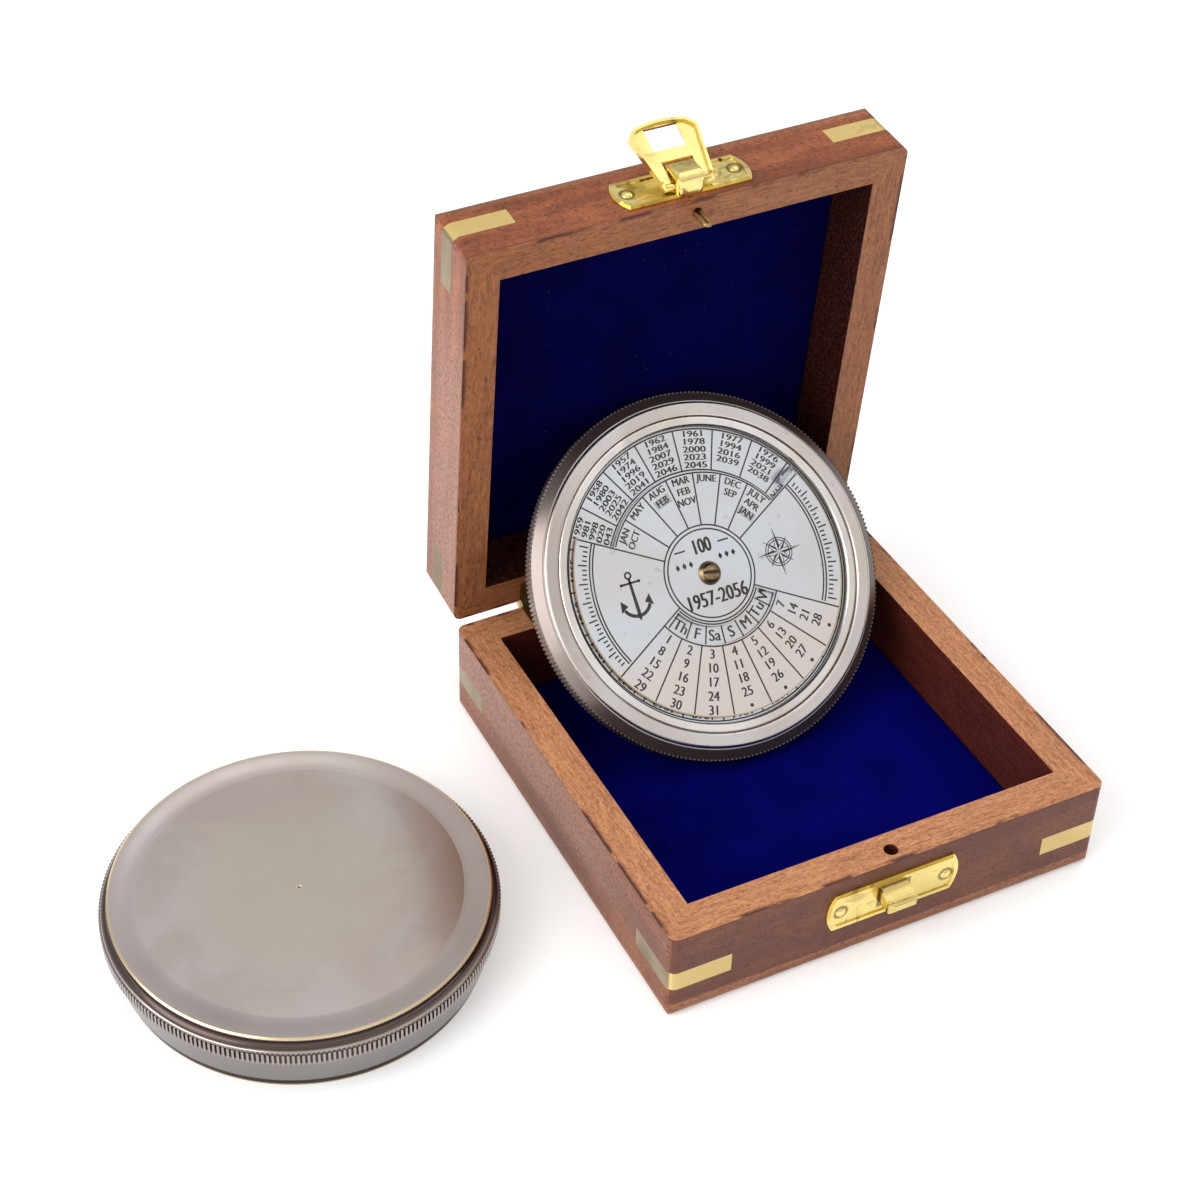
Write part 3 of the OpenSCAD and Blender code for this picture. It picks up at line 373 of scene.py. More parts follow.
@dataclass(frozen=True)
class CaseWood(Finish):
    """Satin polished wood of one board: its outside, its bare rim and its inner faces.

    Attributes:
        calm: How much weaker the dark flecks are on the bare rim.
        front: Share of the darker stain on the base's front.
        walled: Whether the board is a wall, whose inner faces show.
        raw: Colour of the base's foot.
        spilt: Colour of the varnish that ran over the rim's edge.
    """

    half: CaseHalf
    run: GrainRun
    dark: Colour = (0.145, 0.039, 0.018)
    light: Colour = (0.330, 0.108, 0.046)
    rim_light: Colour = (0.66, 0.305, 0.142)
    rim_dark: Colour = (0.35, 0.130, 0.055)
    inside: Colour = (0.075, 0.020, 0.011)
    calm: float = 0.3
    front: float = 0.55
    walled: bool = True
    stained: Colour = (0.115, 0.045, 0.034)
    raw: Colour = (0.43, 0.190, 0.095)
    # Painted sheen on the left outer side.
    bleached: Colour = (0.48, 0.285, 0.22)
    spilt: Colour = (0.085, 0.018, 0.012)
    pore: Colour = (0.045, 0.015, 0.009)

    def paint(self, s: Sketch) -> Sockets:
        """Draw the wood.

        Args:
            s: The material's sketch.

        Returns:
            What the shader's sockets take.
        """
        place = s.place(HINGE, self.half.value)
        bands, fibres, pores, grit = s.group(WOOD, place.stretched(*self.run.value))
        bare, inside, edge, front, foot, side, arris = s.group(FACES, place)
        mottle = place.noise(130.0, 4.0, 0.9).step(0.38, 0.66)
        patch = place.noise(44.0, 3.0, 0.7).step(0.48, 0.68)
        colour = s.mix(bands, self.dark, self.light).tint(self.light, fibres * 0.35)
        colour = colour.tint(self.dark, mottle * 0.4).tint(shade(self.dark, 0.75), patch * 0.45)
        colour = colour.tint(self.dark, edge * fibres.span(0.0, 0.3))
        if self.front > 0.0:
            colour = colour.tint(self.stained, front * self.front).tint(self.raw, foot * 0.6)
        # Painted light on the left side, then darker arrises.
        colour = colour.tint(self.bleached, side * 0.55).tint(shade(self.dark, 0.5), arris * 0.5)
        if self.walled:
            colour = colour.tint(s.mix(fibres, shade(self.inside, 0.6), shade(self.inside, 1.3)), inside)
        rim = s.mix(fibres, self.rim_dark, self.rim_light).tint(self.rim_light, bands * 0.25)
        rim = rim.tint(self.spilt, edge * place.noise(95.0, 3.0, 0.5).step(0.48, 0.56))
        colour = colour.tint(rim, bare).tint(shade(self.dark, 0.7), grit * (0.55 - bare * 0.25))
        height = fibres * 0.35 - pores.most(grit)
        return {"Base Color": colour.tint(self.pore, pores * (0.62 - bare * self.calm)),
                "Roughness": fibres.span(0.42, 0.58), "Normal": height.bump(0.35, 0.00008),
                "Specular IOR Level": 0.3, "Coat Weight": 0.05, "Coat Roughness": 0.3}


@dataclass(frozen=True)
class Velvet(Finish):
    """Short velvet pile, deep where it leans away and bright where it stands, with specks of lint."""

    deep: Colour
    bright: Colour
    lint: Colour = (0.22, 0.18, 0.3)

    def paint(self, s: Sketch) -> Sockets:
        """Draw the velvet.

        Args:
            s: The material's sketch.

        Returns:
            What the shader's sockets take.
        """
        place = s.place()
        pile = place.noise(5200.0, 2.0)
        patches = place.noise(55.0, 4.0, 0.9).step(0.3, 0.72)
        colour = s.mix(patches * 0.6 + pile * 0.4, self.deep, self.bright)
        colour = colour.tint(self.lint, place.noise(900.0, 1.0).step(0.775, 0.8) * 0.12)
        return {"Base Color": colour, "Roughness": pile.span(0.8, 1.0), "Normal": pile.bump(0.6, 0.0002),
                "Specular IOR Level": 0.02, "Sheen Weight": 0.05, "Sheen Roughness": 0.45,
                "Sheen Tint": (0.02, 0.02, 0.6, 1.0)}


@dataclass(frozen=True)
class SheetMetal(Finish):
    """Pressed or cut metal with stains, spots, scratches and dents, each from 0 to 1.

    Attributes:
        rough: Least and greatest roughness.
        side: Share of painted shade on what faces the case's left, right and front.
        rivets: Middles of rivet heads in metres; grime and a painted shade sit around them.
        nose: Middle and half sizes in metres of a pressed nose's foot; a painted shadow sits around it.
        dulled: Painted shade of what faces the front.
        grey: Painted shade of what faces the sides, clean and stained.
        dirt: Colours of the grime and painted shade around the rivets, and of the painted shadow around the nose.
    """

    clean: Colour
    stained: Colour
    rough: Point
    stain: float = 0.5
    scratch: float = 0.1
    side: float = 0.0
    dents: float = 0.0
    rivets: tuple[Triple, ...] = ()
    nose: tuple[Vector, Vector] | None = None
    dulled: Colour = (0.50, 0.37, 0.17)
    grey: tuple[Colour, Colour] = ((0.28, 0.24, 0.185), (0.11, 0.08, 0.06))
    dirt: tuple[Colour, Colour] = ((0.10, 0.06, 0.02), (0.12, 0.07, 0.02))

    def paint(self, s: Sketch) -> Sockets:
        """Draw the metal.

        Args:
            s: The material's sketch.

        Returns:
            What the shader's sockets take.
        """
        place = s.place()
        clouds, spots, scratches = s.group(TARNISH, place)
        blots = place.noise(210.0, 4.0, 0.9).step(0.54, 0.68)
        colour = s.mix((clouds * 0.7).most(spots.most(blots)) * self.stain, self.clean, self.stained)
        # Painted shade on faces towards the front and the sides.
        if self.side > 0.0:
            x, y, _ = place.axes()
            colour = colour.tint(self.dulled, (-y).step(*OUTER_WALL) * (0.7 * self.side))
            colour = colour.tint(s.mix(clouds * 0.8, *self.grey), abs(x).step(*OUTER_WALL) * self.side)
        # Grime and a painted shade ring each rivet head.
        for middle in self.rivets:
            far = place.vector("DISTANCE", middle) * PER_MM
            around = far.step(1.1, 1.3) * (1.0 - far.step(1.4, 2.0))
            colour = colour.tint(self.dirt[0], around * 0.8)
        # Painted shadow around the foot of the nose.
        if self.nose is not None:
            colour = colour.tint(self.dirt[1], self.foot_dirt(place) * 0.8)
        dented = place.noise(300.0, 2.0, 0.3).bump(self.dents, 0.0004) if self.dents > 0.0 else None
        return {"Base Color": colour, "Roughness": (clouds * 0.5 + scratches * 0.5).span(*self.rough),
                "Normal": scratches.bump(self.scratch, 0.00004, dented), "Metallic": 1.0}

    def foot_dirt(self, place: Signal) -> Signal:
        """Draw the mask of the painted shadow around the foot of the pressed nose.

        Args:
            place: Coordinates in metres.

        Returns:
            The mask.
        """
        middle, half = self.nose
        x, y, z = place.vector("SUBTRACT", middle, "Vector").axes()
        away = (abs(x) - half.x).most(abs(z) - half.z) * PER_MM
        around = away.step(-0.5, -0.2) * (1.0 - away.step(0.15, 0.6))
        return around * (1.0 - abs(y).step(half.y, 1.5 * half.y))


@dataclass(frozen=True)
class Band:
    """A ring of a turned piece with a colour of its own, in millimetres from the axis and along it.

    Attributes:
        soft: Width of its soft edge.
        patina: How little metal shows.
    """

    radii: Point
    heights: Point
    colour: Colour
    share: float = 1.0
    soft: float = 0.12
    patina: float = 0.0

    def mask(self, radius: Signal, height: Signal) -> Signal:
        """Draw the mask of the ring.

        Args:
            radius: Distance from the axis in metres.
            height: Height along the axis in metres.

        Returns:
            The mask.
        """
        walls = []
        for metres, (low, high) in ((radius, self.radii), (height, self.heights)):
            value = metres * PER_MM
            walls.append(value.step(low - self.soft, low) * (1.0 - value.step(high, high + self.soft)))
        return walls[0] * walls[1]


@dataclass(frozen=True)
class Drift:
    """A tint of painted light or shade that grows towards one side of a turned piece, in millimetres from its axis."""

    towards: Triple
    reach: Point
    colour: Colour
    share: float

    def lay(self, place: Signal, colour: Signal) -> Signal:
        """Mix the tint into a colour."""
        far = place.vector("DOT_PRODUCT", self.towards).step(*(v * MM for v in self.reach))
        return colour.tint(self.colour, far * self.share)


@dataclass(frozen=True)
class TurnedMetal(Finish):
    """Turned, silvered and aged metal with yellow stains and dark spots.

    Attributes:
        centre: A point of the axis in metres.
        lean: Turn of the axis about X in degrees.
        rough: Least and greatest roughness.
        ridge: Ring where the metal swells, its share being the strength, or none.
        under: Painted light and shade laid under the rings.
        over: Painted light and shade laid over the rings.
    """

    centre: Triple
    lean: float
    clean: Colour = (0.70, 0.665, 0.63)
    aged: Colour = (0.50, 0.435, 0.39)
    warm: Colour = (0.62, 0.52, 0.38)
    rough: Point = (0.2, 0.36)
    bands: tuple[Band, ...] = ()
    spots: float = 0.2
    ridge: Band | None = None
    under: tuple[Drift, ...] = ()
    over: tuple[Drift, ...] = ()
    spot: Colour = (0.2, 0.13, 0.09)

    def paint(self, s: Sketch) -> Sockets:
        """Draw the turned metal.

        Args:
            s: The material's sketch.

        Returns:
            What the shader's sockets take.
        """
        place = s.place(self.centre, self.lean)
        radius, height, rings = s.group(TURNED, place)
        clouds, spots, scratches = s.group(TARNISH, place)
        patch = place.noise(38.0, 2.0, 0.5).step(0.45, 0.75)
        colour = s.mix(clouds * 0.55, self.clean, self.aged).tint(self.warm, patch * 0.4)
        colour = colour.tint(self.spot, spots * self.spots)
        metal: Signal | float = 1.0
        for drift in self.under:
            colour = drift.lay(place, colour)
        for band in self.bands:
            mask = band.mask(radius, height)
            colour = colour.tint(band.colour, mask * band.share)
            if band.patina > 0.0:
                metal = 1.0 - mask * band.patina
        for drift in self.over:
            colour = drift.lay(place, colour)
        swell = None if self.ridge is None else self.ridge.mask(radius, height).bump(self.ridge.share, 0.00024)
        return {"Base Color": colour, "Roughness": (clouds * 0.55 + rings * 0.45).span(*self.rough),
                "Normal": (rings + scratches * 0.3).bump(0.06, 0.00003, swell), "Metallic": metal}


@dataclass(frozen=True)
class EnamelFill(Finish):
    """Filling of engraved lines, matt and in places thin."""

    colour: Colour = (0.014, 0.011, 0.010)
    thin: Colour = (0.075, 0.055, 0.043)

    def paint(self, s: Sketch) -> Sockets:
        """Draw the filling."""
        clouds, _, scratches = s.group(TARNISH, s.place())
        return {"Base Color": s.mix(clouds * 0.8, self.colour, self.thin), "Roughness": scratches.span(0.45, 0.7)}


@dataclass(frozen=True)
class PrintedCard(Finish):
    """Cream card of the compass around its middle in metres, with fibres in the paper, yellowed towards its rim."""

    centre: Triple
    paper: tuple[Colour, Colour] = ((0.80, 0.75, 0.62), (0.70, 0.63, 0.48))
    yellow: Colour = (0.62, 0.52, 0.36)

    def paint(self, s: Sketch) -> Sockets:
        """Draw the card.

        Args:
            s: The material's sketch.

        Returns:
            What the shader's sockets take.
        """
        place = s.place(self.centre)
        radius, _, _ = s.group(TURNED, place)
        fibres = place.noise(2600.0, 3.0)
        colour = s.mix(fibres * 0.4, *self.paper).tint(self.yellow, radius.step(0.018, 0.036) * 0.6)
        return {"Base Color": colour, "Roughness": fibres.span(0.55, 0.75), "Normal": fibres.bump(0.15, 0.00004)}


@dataclass(frozen=True)
class BluedNeedle(Finish):
    """Needle of clean and stained steel with one blued half."""

    steel: tuple[Colour, Colour] = ((0.50, 0.50, 0.52), (0.38, 0.37, 0.37))
    blue: Colour = (0.03, 0.05, 0.19)

    def paint(self, s: Sketch) -> Sockets:
        """Draw the needle.

        Args:
            s: The material's sketch.

        Returns:
            What the shader's sockets take.
        """
        place = s.place()
        _, y, _ = place.axes()
        clouds, _, scratches = s.group(TARNISH, place)
        colour = s.mix(clouds, *self.steel).tint(self.blue, (-y).step(0.0012, 0.0018))
        return {"Base Color": colour, "Roughness": scratches.span(0.2, 0.4), "Metallic": 1.0}


@dataclass(frozen=True)
class WindowGlass(Finish):
    """Clear flat glass with faint dust."""

    def paint(self, s: Sketch) -> Sockets:
        """Draw the glass."""
        dust = s.place().noise(700.0, 3.0).step(0.5, 0.85)
        return {"Base Color": (0.96, 0.98, 0.97, 1.0), "Roughness": dust.span(0.01, 0.06), "IOR": 1.5,
                "Transmission Weight": 1.0}


@dataclass(frozen=True)
class PaleFloor(Finish):
    """Pale floor that glows a little where it is seen."""

    def paint(self, s: Sketch) -> Sockets:
        """Draw the floor.

        Args:
            s: The material's sketch.

        Returns:
            What the shader's sockets take.
        """
        rays = s.add("LightPath", {}).outputs
        camera, glossy, through = (Signal(s, rays[f"Is {kind} Ray"]) for kind in ("Camera", "Glossy", "Transmission"))
        return {"Base Color": (0.93, 0.93, 0.93, 1.0), "Roughness": 0.7, "Specular IOR Level": 0.15,
                "Emission Color": (1.0, 1.0, 1.0, 1.0), "Emission Strength": camera.most(glossy).most(through) * 0.22}


# Making and placing pieces


def dress(finish: Finish, *nodes: str) -> None:
    """Give CAD nodes a finish.

    Args:
        finish: The finish.
        nodes: Names of the nodes.
    """
    material = finish.material()
    for name in nodes:
        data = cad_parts[name].data
        data.materials.clear()
        data.materials.append(material)
        LOG.info("%s is dressed in %s", name, finish.name)


def settle(name: str, place: Matrix, material: Material, body: str) -> Object:
    """Finish the active object as a new piece, with its place in its vertices.

    Args:
        name: Name of the piece.
        place: Where its local frame lies in the shared frame.
        material: The material.
        body: Name of the body that it rides on.

    Returns:
        The piece, at the origin.
    """
    obj = bpy.context.view_layer.objects.active
    obj.name = obj.data.name = name
    bpy.ops.object.transform_apply(location=True, rotation=True, scale=True)
    obj.matrix_world = place
    bpy.ops.object.transform_apply(location=True, rotation=True, scale=True)
    obj.data.materials.clear()
    obj.data.materials.append(material)
    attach(obj, body)
    LOG.info("%s rides on %s: %d faces", obj.name, body, len(obj.data.polygons))
    return obj


def engrave(name: str, parts: list[Object], place: Matrix, ink: Material, body: str) -> None:
    """Join texts and flat curves into one mesh, lay it on its face and fill it.

    Args:
        name: Name of the finished piece.
        parts: Text and curve objects, drawn on the local XY plane in metres.
        place: Where the local plane lies in the shared frame.
        ink: The filling.
        body: Name of the body that it rides on.
    """
    bpy.ops.object.select_all(action="DESELECT")
    for part in parts:
        part.select_set(True)
    bpy.context.view_layer.objects.active = parts[0]
    bpy.ops.object.convert(target="MESH")
    bpy.ops.object.join()
    settle(name, place, ink, body)


def polar(radius: float, angle: float) -> Point:
    """Point at a radius and an angle in degrees, counter-clockwise from +X."""
    return radius * math.cos(math.radians(angle)), radius * math.sin(math.radians(angle))


def shift(outline: Outline, x: float, y: float) -> Outline:
    """Move an outline."""
    return [(px + x, py + y) for px, py in outline]


def dot(radius: float) -> Outline:
    """Outline of a small disc."""
    return [polar(radius, 30.0 * i) for i in range(12)]


def oblong(low: Point, high: Point) -> Outline:
    """Outline of an upright rectangle between two corners."""
    return [low, (high[0], low[1]), high, (low[0], high[1])]


def ring(radius: float, width: float) -> list[Outline]:
    """Outlines of a full circular line of a given width."""
    return [[polar(r, 360.0 * i / 160) for i in range(160)] for r in (radius + width / 2, radius - width / 2)]


def arc_band(radius: float, width: float, start: float, end: float) -> list[Outline]:
    """Outline of a circular line between two angles.

    Args:
        radius: Radius of its middle.
        width: Width of the line.
        start: First angle in degrees.
        end: Last angle in degrees.

    Returns:
        The outline, in a list.
    """
    steps = max(4, int(abs(end - start) / 2.5))
    angles = [start + (end - start) * i / steps for i in range(steps + 1)]
    outer = [polar(radius + width / 2, a) for a in angles]
    return [outer + [polar(radius - width / 2, a) for a in reversed(angles)]]


def turned_oblong(low: Point, high: Point, at: Point, turn: float) -> Outline:
    """Outline of a rectangle about a point, turned by an angle in degrees."""
    ax, ay = polar(1.0, turn)
    return [(at[0] + ax * u - ay * v, at[1] + ay * u + ax * v) for u, v in oblong(low, high)]


def rose(inner: float, tips: Point, sides: Point, line: Triple, turn: Point) -> Shapes:
    """Outlines of eight half-filled points of a rose.

    Args:
        inner: Radius where the filled halves begin.
        tips: Reach of the long and of the short points.
        sides: Radius of the notches after the long and the short points.
        line: Thickness of the open halves' line at the tip and within and beyond the notch.
        turn: Where the open half's line leaves the tip and meets the notch, in degrees.

    Returns:
        Two outlines for each point.
    """
    shapes = []
    for i in range(8):
        tip, side, angle = tips[i % 2], sides[i % 2], 90.0 + 45.0 * i
        shapes.append([[polar(inner, angle), polar(tip, angle), polar(side, angle - 22.5)]])
        shapes.append([[polar(tip, angle), polar(tip - line[0], angle + turn[0]),
                        polar(side - line[1], angle + turn[1]), polar(side + line[2], angle + 22.5)]])
    return shapes


@dataclass(frozen=True)
class Lettering:
    """Size of letters in millimetres, share of their usual width, and shift of each strike to its side."""

    size: float
    squeeze: float = 1.0
    bold: float = 0.05


@dataclass(frozen=True)
class Engraver:
    """Cuts filled lines and figures on one flat face.

    Attributes:
        lift: Height of the face above the local plane in millimetres.
        line: Usual width of a line in millimetres.
        fill: Thickness of the filling in millimetres.
    """

    lift: float
    line: float = 0.33
    fill: float = 0.024

    def start(self, kind: str, at: Point, height: float) -> Object:
        """Start an empty curve or text as thick as the filling.

        Args:
            kind: Kind of curve.
            at: Place on the face in millimetres.
            height: Height of its middle over the face, as a share of the filling.

        Returns:
            The object.
        """
        data = bpy.data.curves.new("engraving", kind)
        data.extrude = self.fill * MM / 2
        obj = bpy.data.objects.new("engraving", data)
        obj.location = (at[0] * MM, at[1] * MM, (self.lift + self.fill * height) * MM)
        bpy.context.collection.objects.link(obj)
        return obj

    def shape(self, outlines: list[Outline]) -> Object:
        """Fill a shape on the face.

        Args:
            outlines: Closed outlines in millimetres; an outline inside another one is a hole.

        Returns:
            A flat curve.
        """
        obj = self.start("CURVE", (0.0, 0.0), 1 / 3)
        obj.data.dimensions = "2D"
        obj.data.fill_mode = "BOTH"
        for outline in outlines:
            spline = obj.data.splines.new("POLY")
            spline.points.add(len(outline) - 1)
            for point, (x, y) in zip(spline.points, outline):
                point.co = (x * MM, y * MM, 0.0, 1.0)
            spline.use_cyclic_u = True
        return obj

    def drawing(self, shapes: Shapes, at: Point) -> list[Object]:
        """Fill the shapes of a drawing at a place on the face."""
        return [self.shape([shift(line, *at) for line in outlines]) for outlines in shapes]

    def ring(self, radius: float) -> Object:
        """Draw a full circle on the face."""
        return self.shape(ring(radius, self.line))

    def arc(self, radius: float, start: float, end: float) -> Object:
        """Draw part of a circle on the face."""
        return self.shape(arc_band(radius, self.line, start, end))

    def spoke(self, angle: float, near: float, far: float) -> Object:
        """Draw a radial line on the face."""
        half = self.line / 2
        return self.shape([turned_oblong((near, -half), (far, half), (0.0, 0.0), angle)])

    def words(self, body: str, at: Point, turn: float, letters: Lettering) -> list[Object]:
        """Write a figure in two strikes side by side.

        Args:
            body: The letters or digits.
            at: Place on the face in millimetres.
            turn: Turn of the base line in degrees.
            letters: Form of the letters.

        Returns:
            Text objects.
        """
        strikes = []
        for side in (-1, 1):
            dx, dy = polar(side * letters.bold, turn)
            obj = self.start("FONT", (at[0] + dx, at[1] + dy), (2 + 0.3 * side) / 6)
            obj.data.body = body
            obj.data.size = letters.size * MM
            obj.data.align_x = obj.data.align_y = "CENTER"
            obj.data.resolution_u = 3
            obj.rotation_euler.z = math.radians(turn)
            obj.scale.x = letters.squeeze
            strikes.append(obj)
        return strikes

    def figure(self, body: str, radius: float, angle: float, reading: Reading, letters: Lettering) -> list[Object]:
        """Write a figure at a radius in millimetres and an angle in degrees."""
        return self.words(body, polar(radius, angle), angle + reading.value, letters)


# Sub-assemblies


@dataclass
class VelvetPad:
    """Padded velvet lining of one half of the case, in millimetres of the shut case.

    Attributes:
        node: The plain solid that it stands for.
        body: The body that it rides on.
        levels: Its lower and upper side.
        face_up: Whether the pile is on its upper side.
        place: Where the half of the case lies.
        side: Width and depth.
        crown: Rise of the middle above the border.
        edge: Rounding of the edges.
        swell: Unevenness of the pile.
        wave: Size of one swell.
        cuts: Cuts across the crowned face.
    """

    name: str
    node: str
    body: str
    levels: Point
    face_up: bool
    place: Matrix
    deep: Colour
    bright: Colour
    side: float = 84.9
    crown: float = 0.22
    border: float = 2.4
    edge: float = 0.3
    swell: float = 0.16
    wave: float = 22.0
    cuts: int = 40

    def model(self) -> None:
        """Model the pad: a block with a crowned face, soft edges and an uneven pile."""
        low, high = self.levels
        up = 1.0 if self.face_up else -1.0
        bpy.ops.object.select_all(action="DESELECT")
        bpy.ops.mesh.primitive_cube_add(size=1.0, location=(0, 0, 0))
        obj = bpy.context.view_layer.objects.active
        obj.scale = (self.side * MM, self.side * MM, (high - low) * MM - self.crown * MM)
        bpy.ops.object.transform_apply(location=False, rotation=False, scale=True)
        bpy.ops.object.mode_set(mode="EDIT")
        bpy.ops.mesh.select_mode(type="FACE")
        bpy.ops.mesh.select_all(action="DESELECT")
        bpy.ops.object.mode_set(mode="OBJECT")
        for face in obj.data.polygons:
            face.select = face.normal.z * up > 0.9
        bpy.ops.object.mode_set(mode="EDIT")
        bpy.ops.mesh.inset(thickness=self.border * MM, depth=self.crown * MM)
        bpy.ops.mesh.subdivide(number_cuts=self.cuts)
        bpy.ops.mesh.select_all(action="SELECT")
        bpy.ops.mesh.quads_convert_to_tris()
        bpy.ops.object.mode_set(mode="OBJECT")
        soft = obj.modifiers.new("soft_edge", "BEVEL")
        soft.width = self.edge * MM
        soft.segments = 3
        soft.angle_limit = math.radians(50)
        bpy.ops.object.modifier_apply(modifier=soft.name)
        uneven = obj.modifiers.new("swell", "DISPLACE")
        uneven.texture = bpy.data.textures.new(self.name + "_swell", "CLOUDS")
        uneven.texture.noise_scale = self.wave * MM
        uneven.texture_coords = "LOCAL"
        uneven.direction = "Z"
        uneven.strength = self.swell * MM
        bpy.ops.object.modifier_apply(modifier=uneven.name)
        bpy.ops.object.shade_smooth_by_angle(angle=math.radians(40))
        obj.location.z = ((low + high - up * self.crown - self.swell) / 2) * MM

    def build(self) -> None:
        """Model the pad, cover it in velvet and put it in the case."""
        self.model()
        pile = Velvet(self.name + "_pile", self.deep, self.bright).material()
        pad = settle(self.name, self.place, pile, self.body)
        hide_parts(self.node)


@dataclass
class WoodenCase:
    """The case: wood, brass corner strips, hinges, hasp and catch, and the velvet lining, in millimetres.

    Attributes:
        rivet_reach: Distance of a plate's rivets from its middle.
        nose_down: Middle of the catch's nose below the plate's upper edge.
        nose_half: Half sizes of the nose's foot.
        floor: Lower and upper side of the base's lining.
        roof: Lower and upper side of the lid's lining with the case shut.
    """

    rivet_reach: float = 12.2
    nose_down: float = 4.4
    nose_half: Triple = (3.4, 0.5, 2.6)
    floor: Point = (2.6, 5.6)
    roof: Point = (35.6, 36.6)

    def dress_wood(self) -> None:
        """Give each board its wood."""
        # The lid's inside and rim are darker than the base's: a painted shade on faces turned from the light with the
        # lid open.
        tones = {CaseHalf.BASE: dict(inside=(0.085, 0.013, 0.005)),
                 CaseHalf.LID: dict(inside=(0.020, 0.002, 0.001), dark=(0.185, 0.047, 0.019),
                                    light=(0.42, 0.130, 0.050), rim_light=(0.43, 0.175, 0.072),
                                    rim_dark=(0.21, 0.066, 0.025), calm=0.05)}
        plain = dict(dark=(0.23, 0.086, 0.040), light=(0.40, 0.165, 0.075), front=0.0, walled=False)
        for half, tag in ((CaseHalf.BASE, "base"), (CaseHalf.LID, "lid")):
            dress(CaseWood(tag + "_wood_across", half, GrainRun.ACROSS, **tones[half]), tag + "_front", tag + "_back")
            dress(CaseWood(tag + "_wood_deep", half, GrainRun.DEEP, **tones[half]), tag + "_left", tag + "_right")
            dress(CaseWood(tag + "_wood_board", half, GrainRun.ACROSS, **plain), tag + "_board")

    def dress_brass(self) -> None:
        """Give the metal fittings their brass."""
        heads = []
        for x in (-self.rivet_reach, self.rivet_reach):
            low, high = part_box("catch_rivets")
            heads.append((x * MM, low.y + 0.5 * MM, (low.z + high.z) / 2))
            low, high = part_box("hasp_rivets")
            heads.append((x * MM, (low.y + high.y) / 2, high.z - 0.5 * MM))
        _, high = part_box("catch_plate")
        foot = (Vector((0.0, heads[0][1], high.z - self.nose_down * MM)), Vector(self.nose_half) * MM)
        dress(SheetMetal("fitting_brass", (0.92, 0.75, 0.29), (0.40, 0.27, 0.07), (0.12, 0.3), 0.6, 0.1, dents=0.5,
                         rivets=tuple(heads), nose=foot),
              "hasp", "hasp_plate", "hasp_rivets", "catch_plate", "catch_rivets")
        # The inlays' faces towards the front and sides get a painted shade.
        dress(SheetMetal("inlay_brass", (0.86, 0.67, 0.28), (0.64, 0.46, 0.17), (0.3, 0.5), 0.6, 0.3, 0.85),
              "base_inlays", "lid_inlays")
        dress(SheetMetal("hinge_brass", (0.48, 0.34, 0.14), (0.25, 0.15, 0.06), (0.3, 0.5), 0.7, 0.25),
              "base_hinge_leaves", "lid_hinge_leaves", "base_hinge_screws", "lid_hinge_screws", "hinge_pins",
              "locating_pin")

    def dress_lining(self) -> None:
        """Make the velvet lining of both halves."""
        pin = Matrix.Translation(HINGE)
        lid = pin @ Matrix.Rotation(math.radians(CaseHalf.LID.value), 4, "X") @ pin.inverted()
        VelvetPad("base_lining", "base_velvet", "case_base", self.floor, True, Matrix.Identity(4),
                  (0.0005, 0.0005, 0.066), (0.0018, 0.0015, 0.135)).build()
        # The lid's velvet is the base's cloth made darker: a painted shade on the lid's lining.
        VelvetPad("lid_lining", "lid_velvet", "case_lid", self.roof, False, lid,
                  (0.0005, 0.0005, 0.032), (0.0014, 0.0013, 0.068)).build()

    def build(self) -> None:
        """Dress the whole case."""
        self.dress_wood()
        self.dress_brass()
        self.dress_lining()


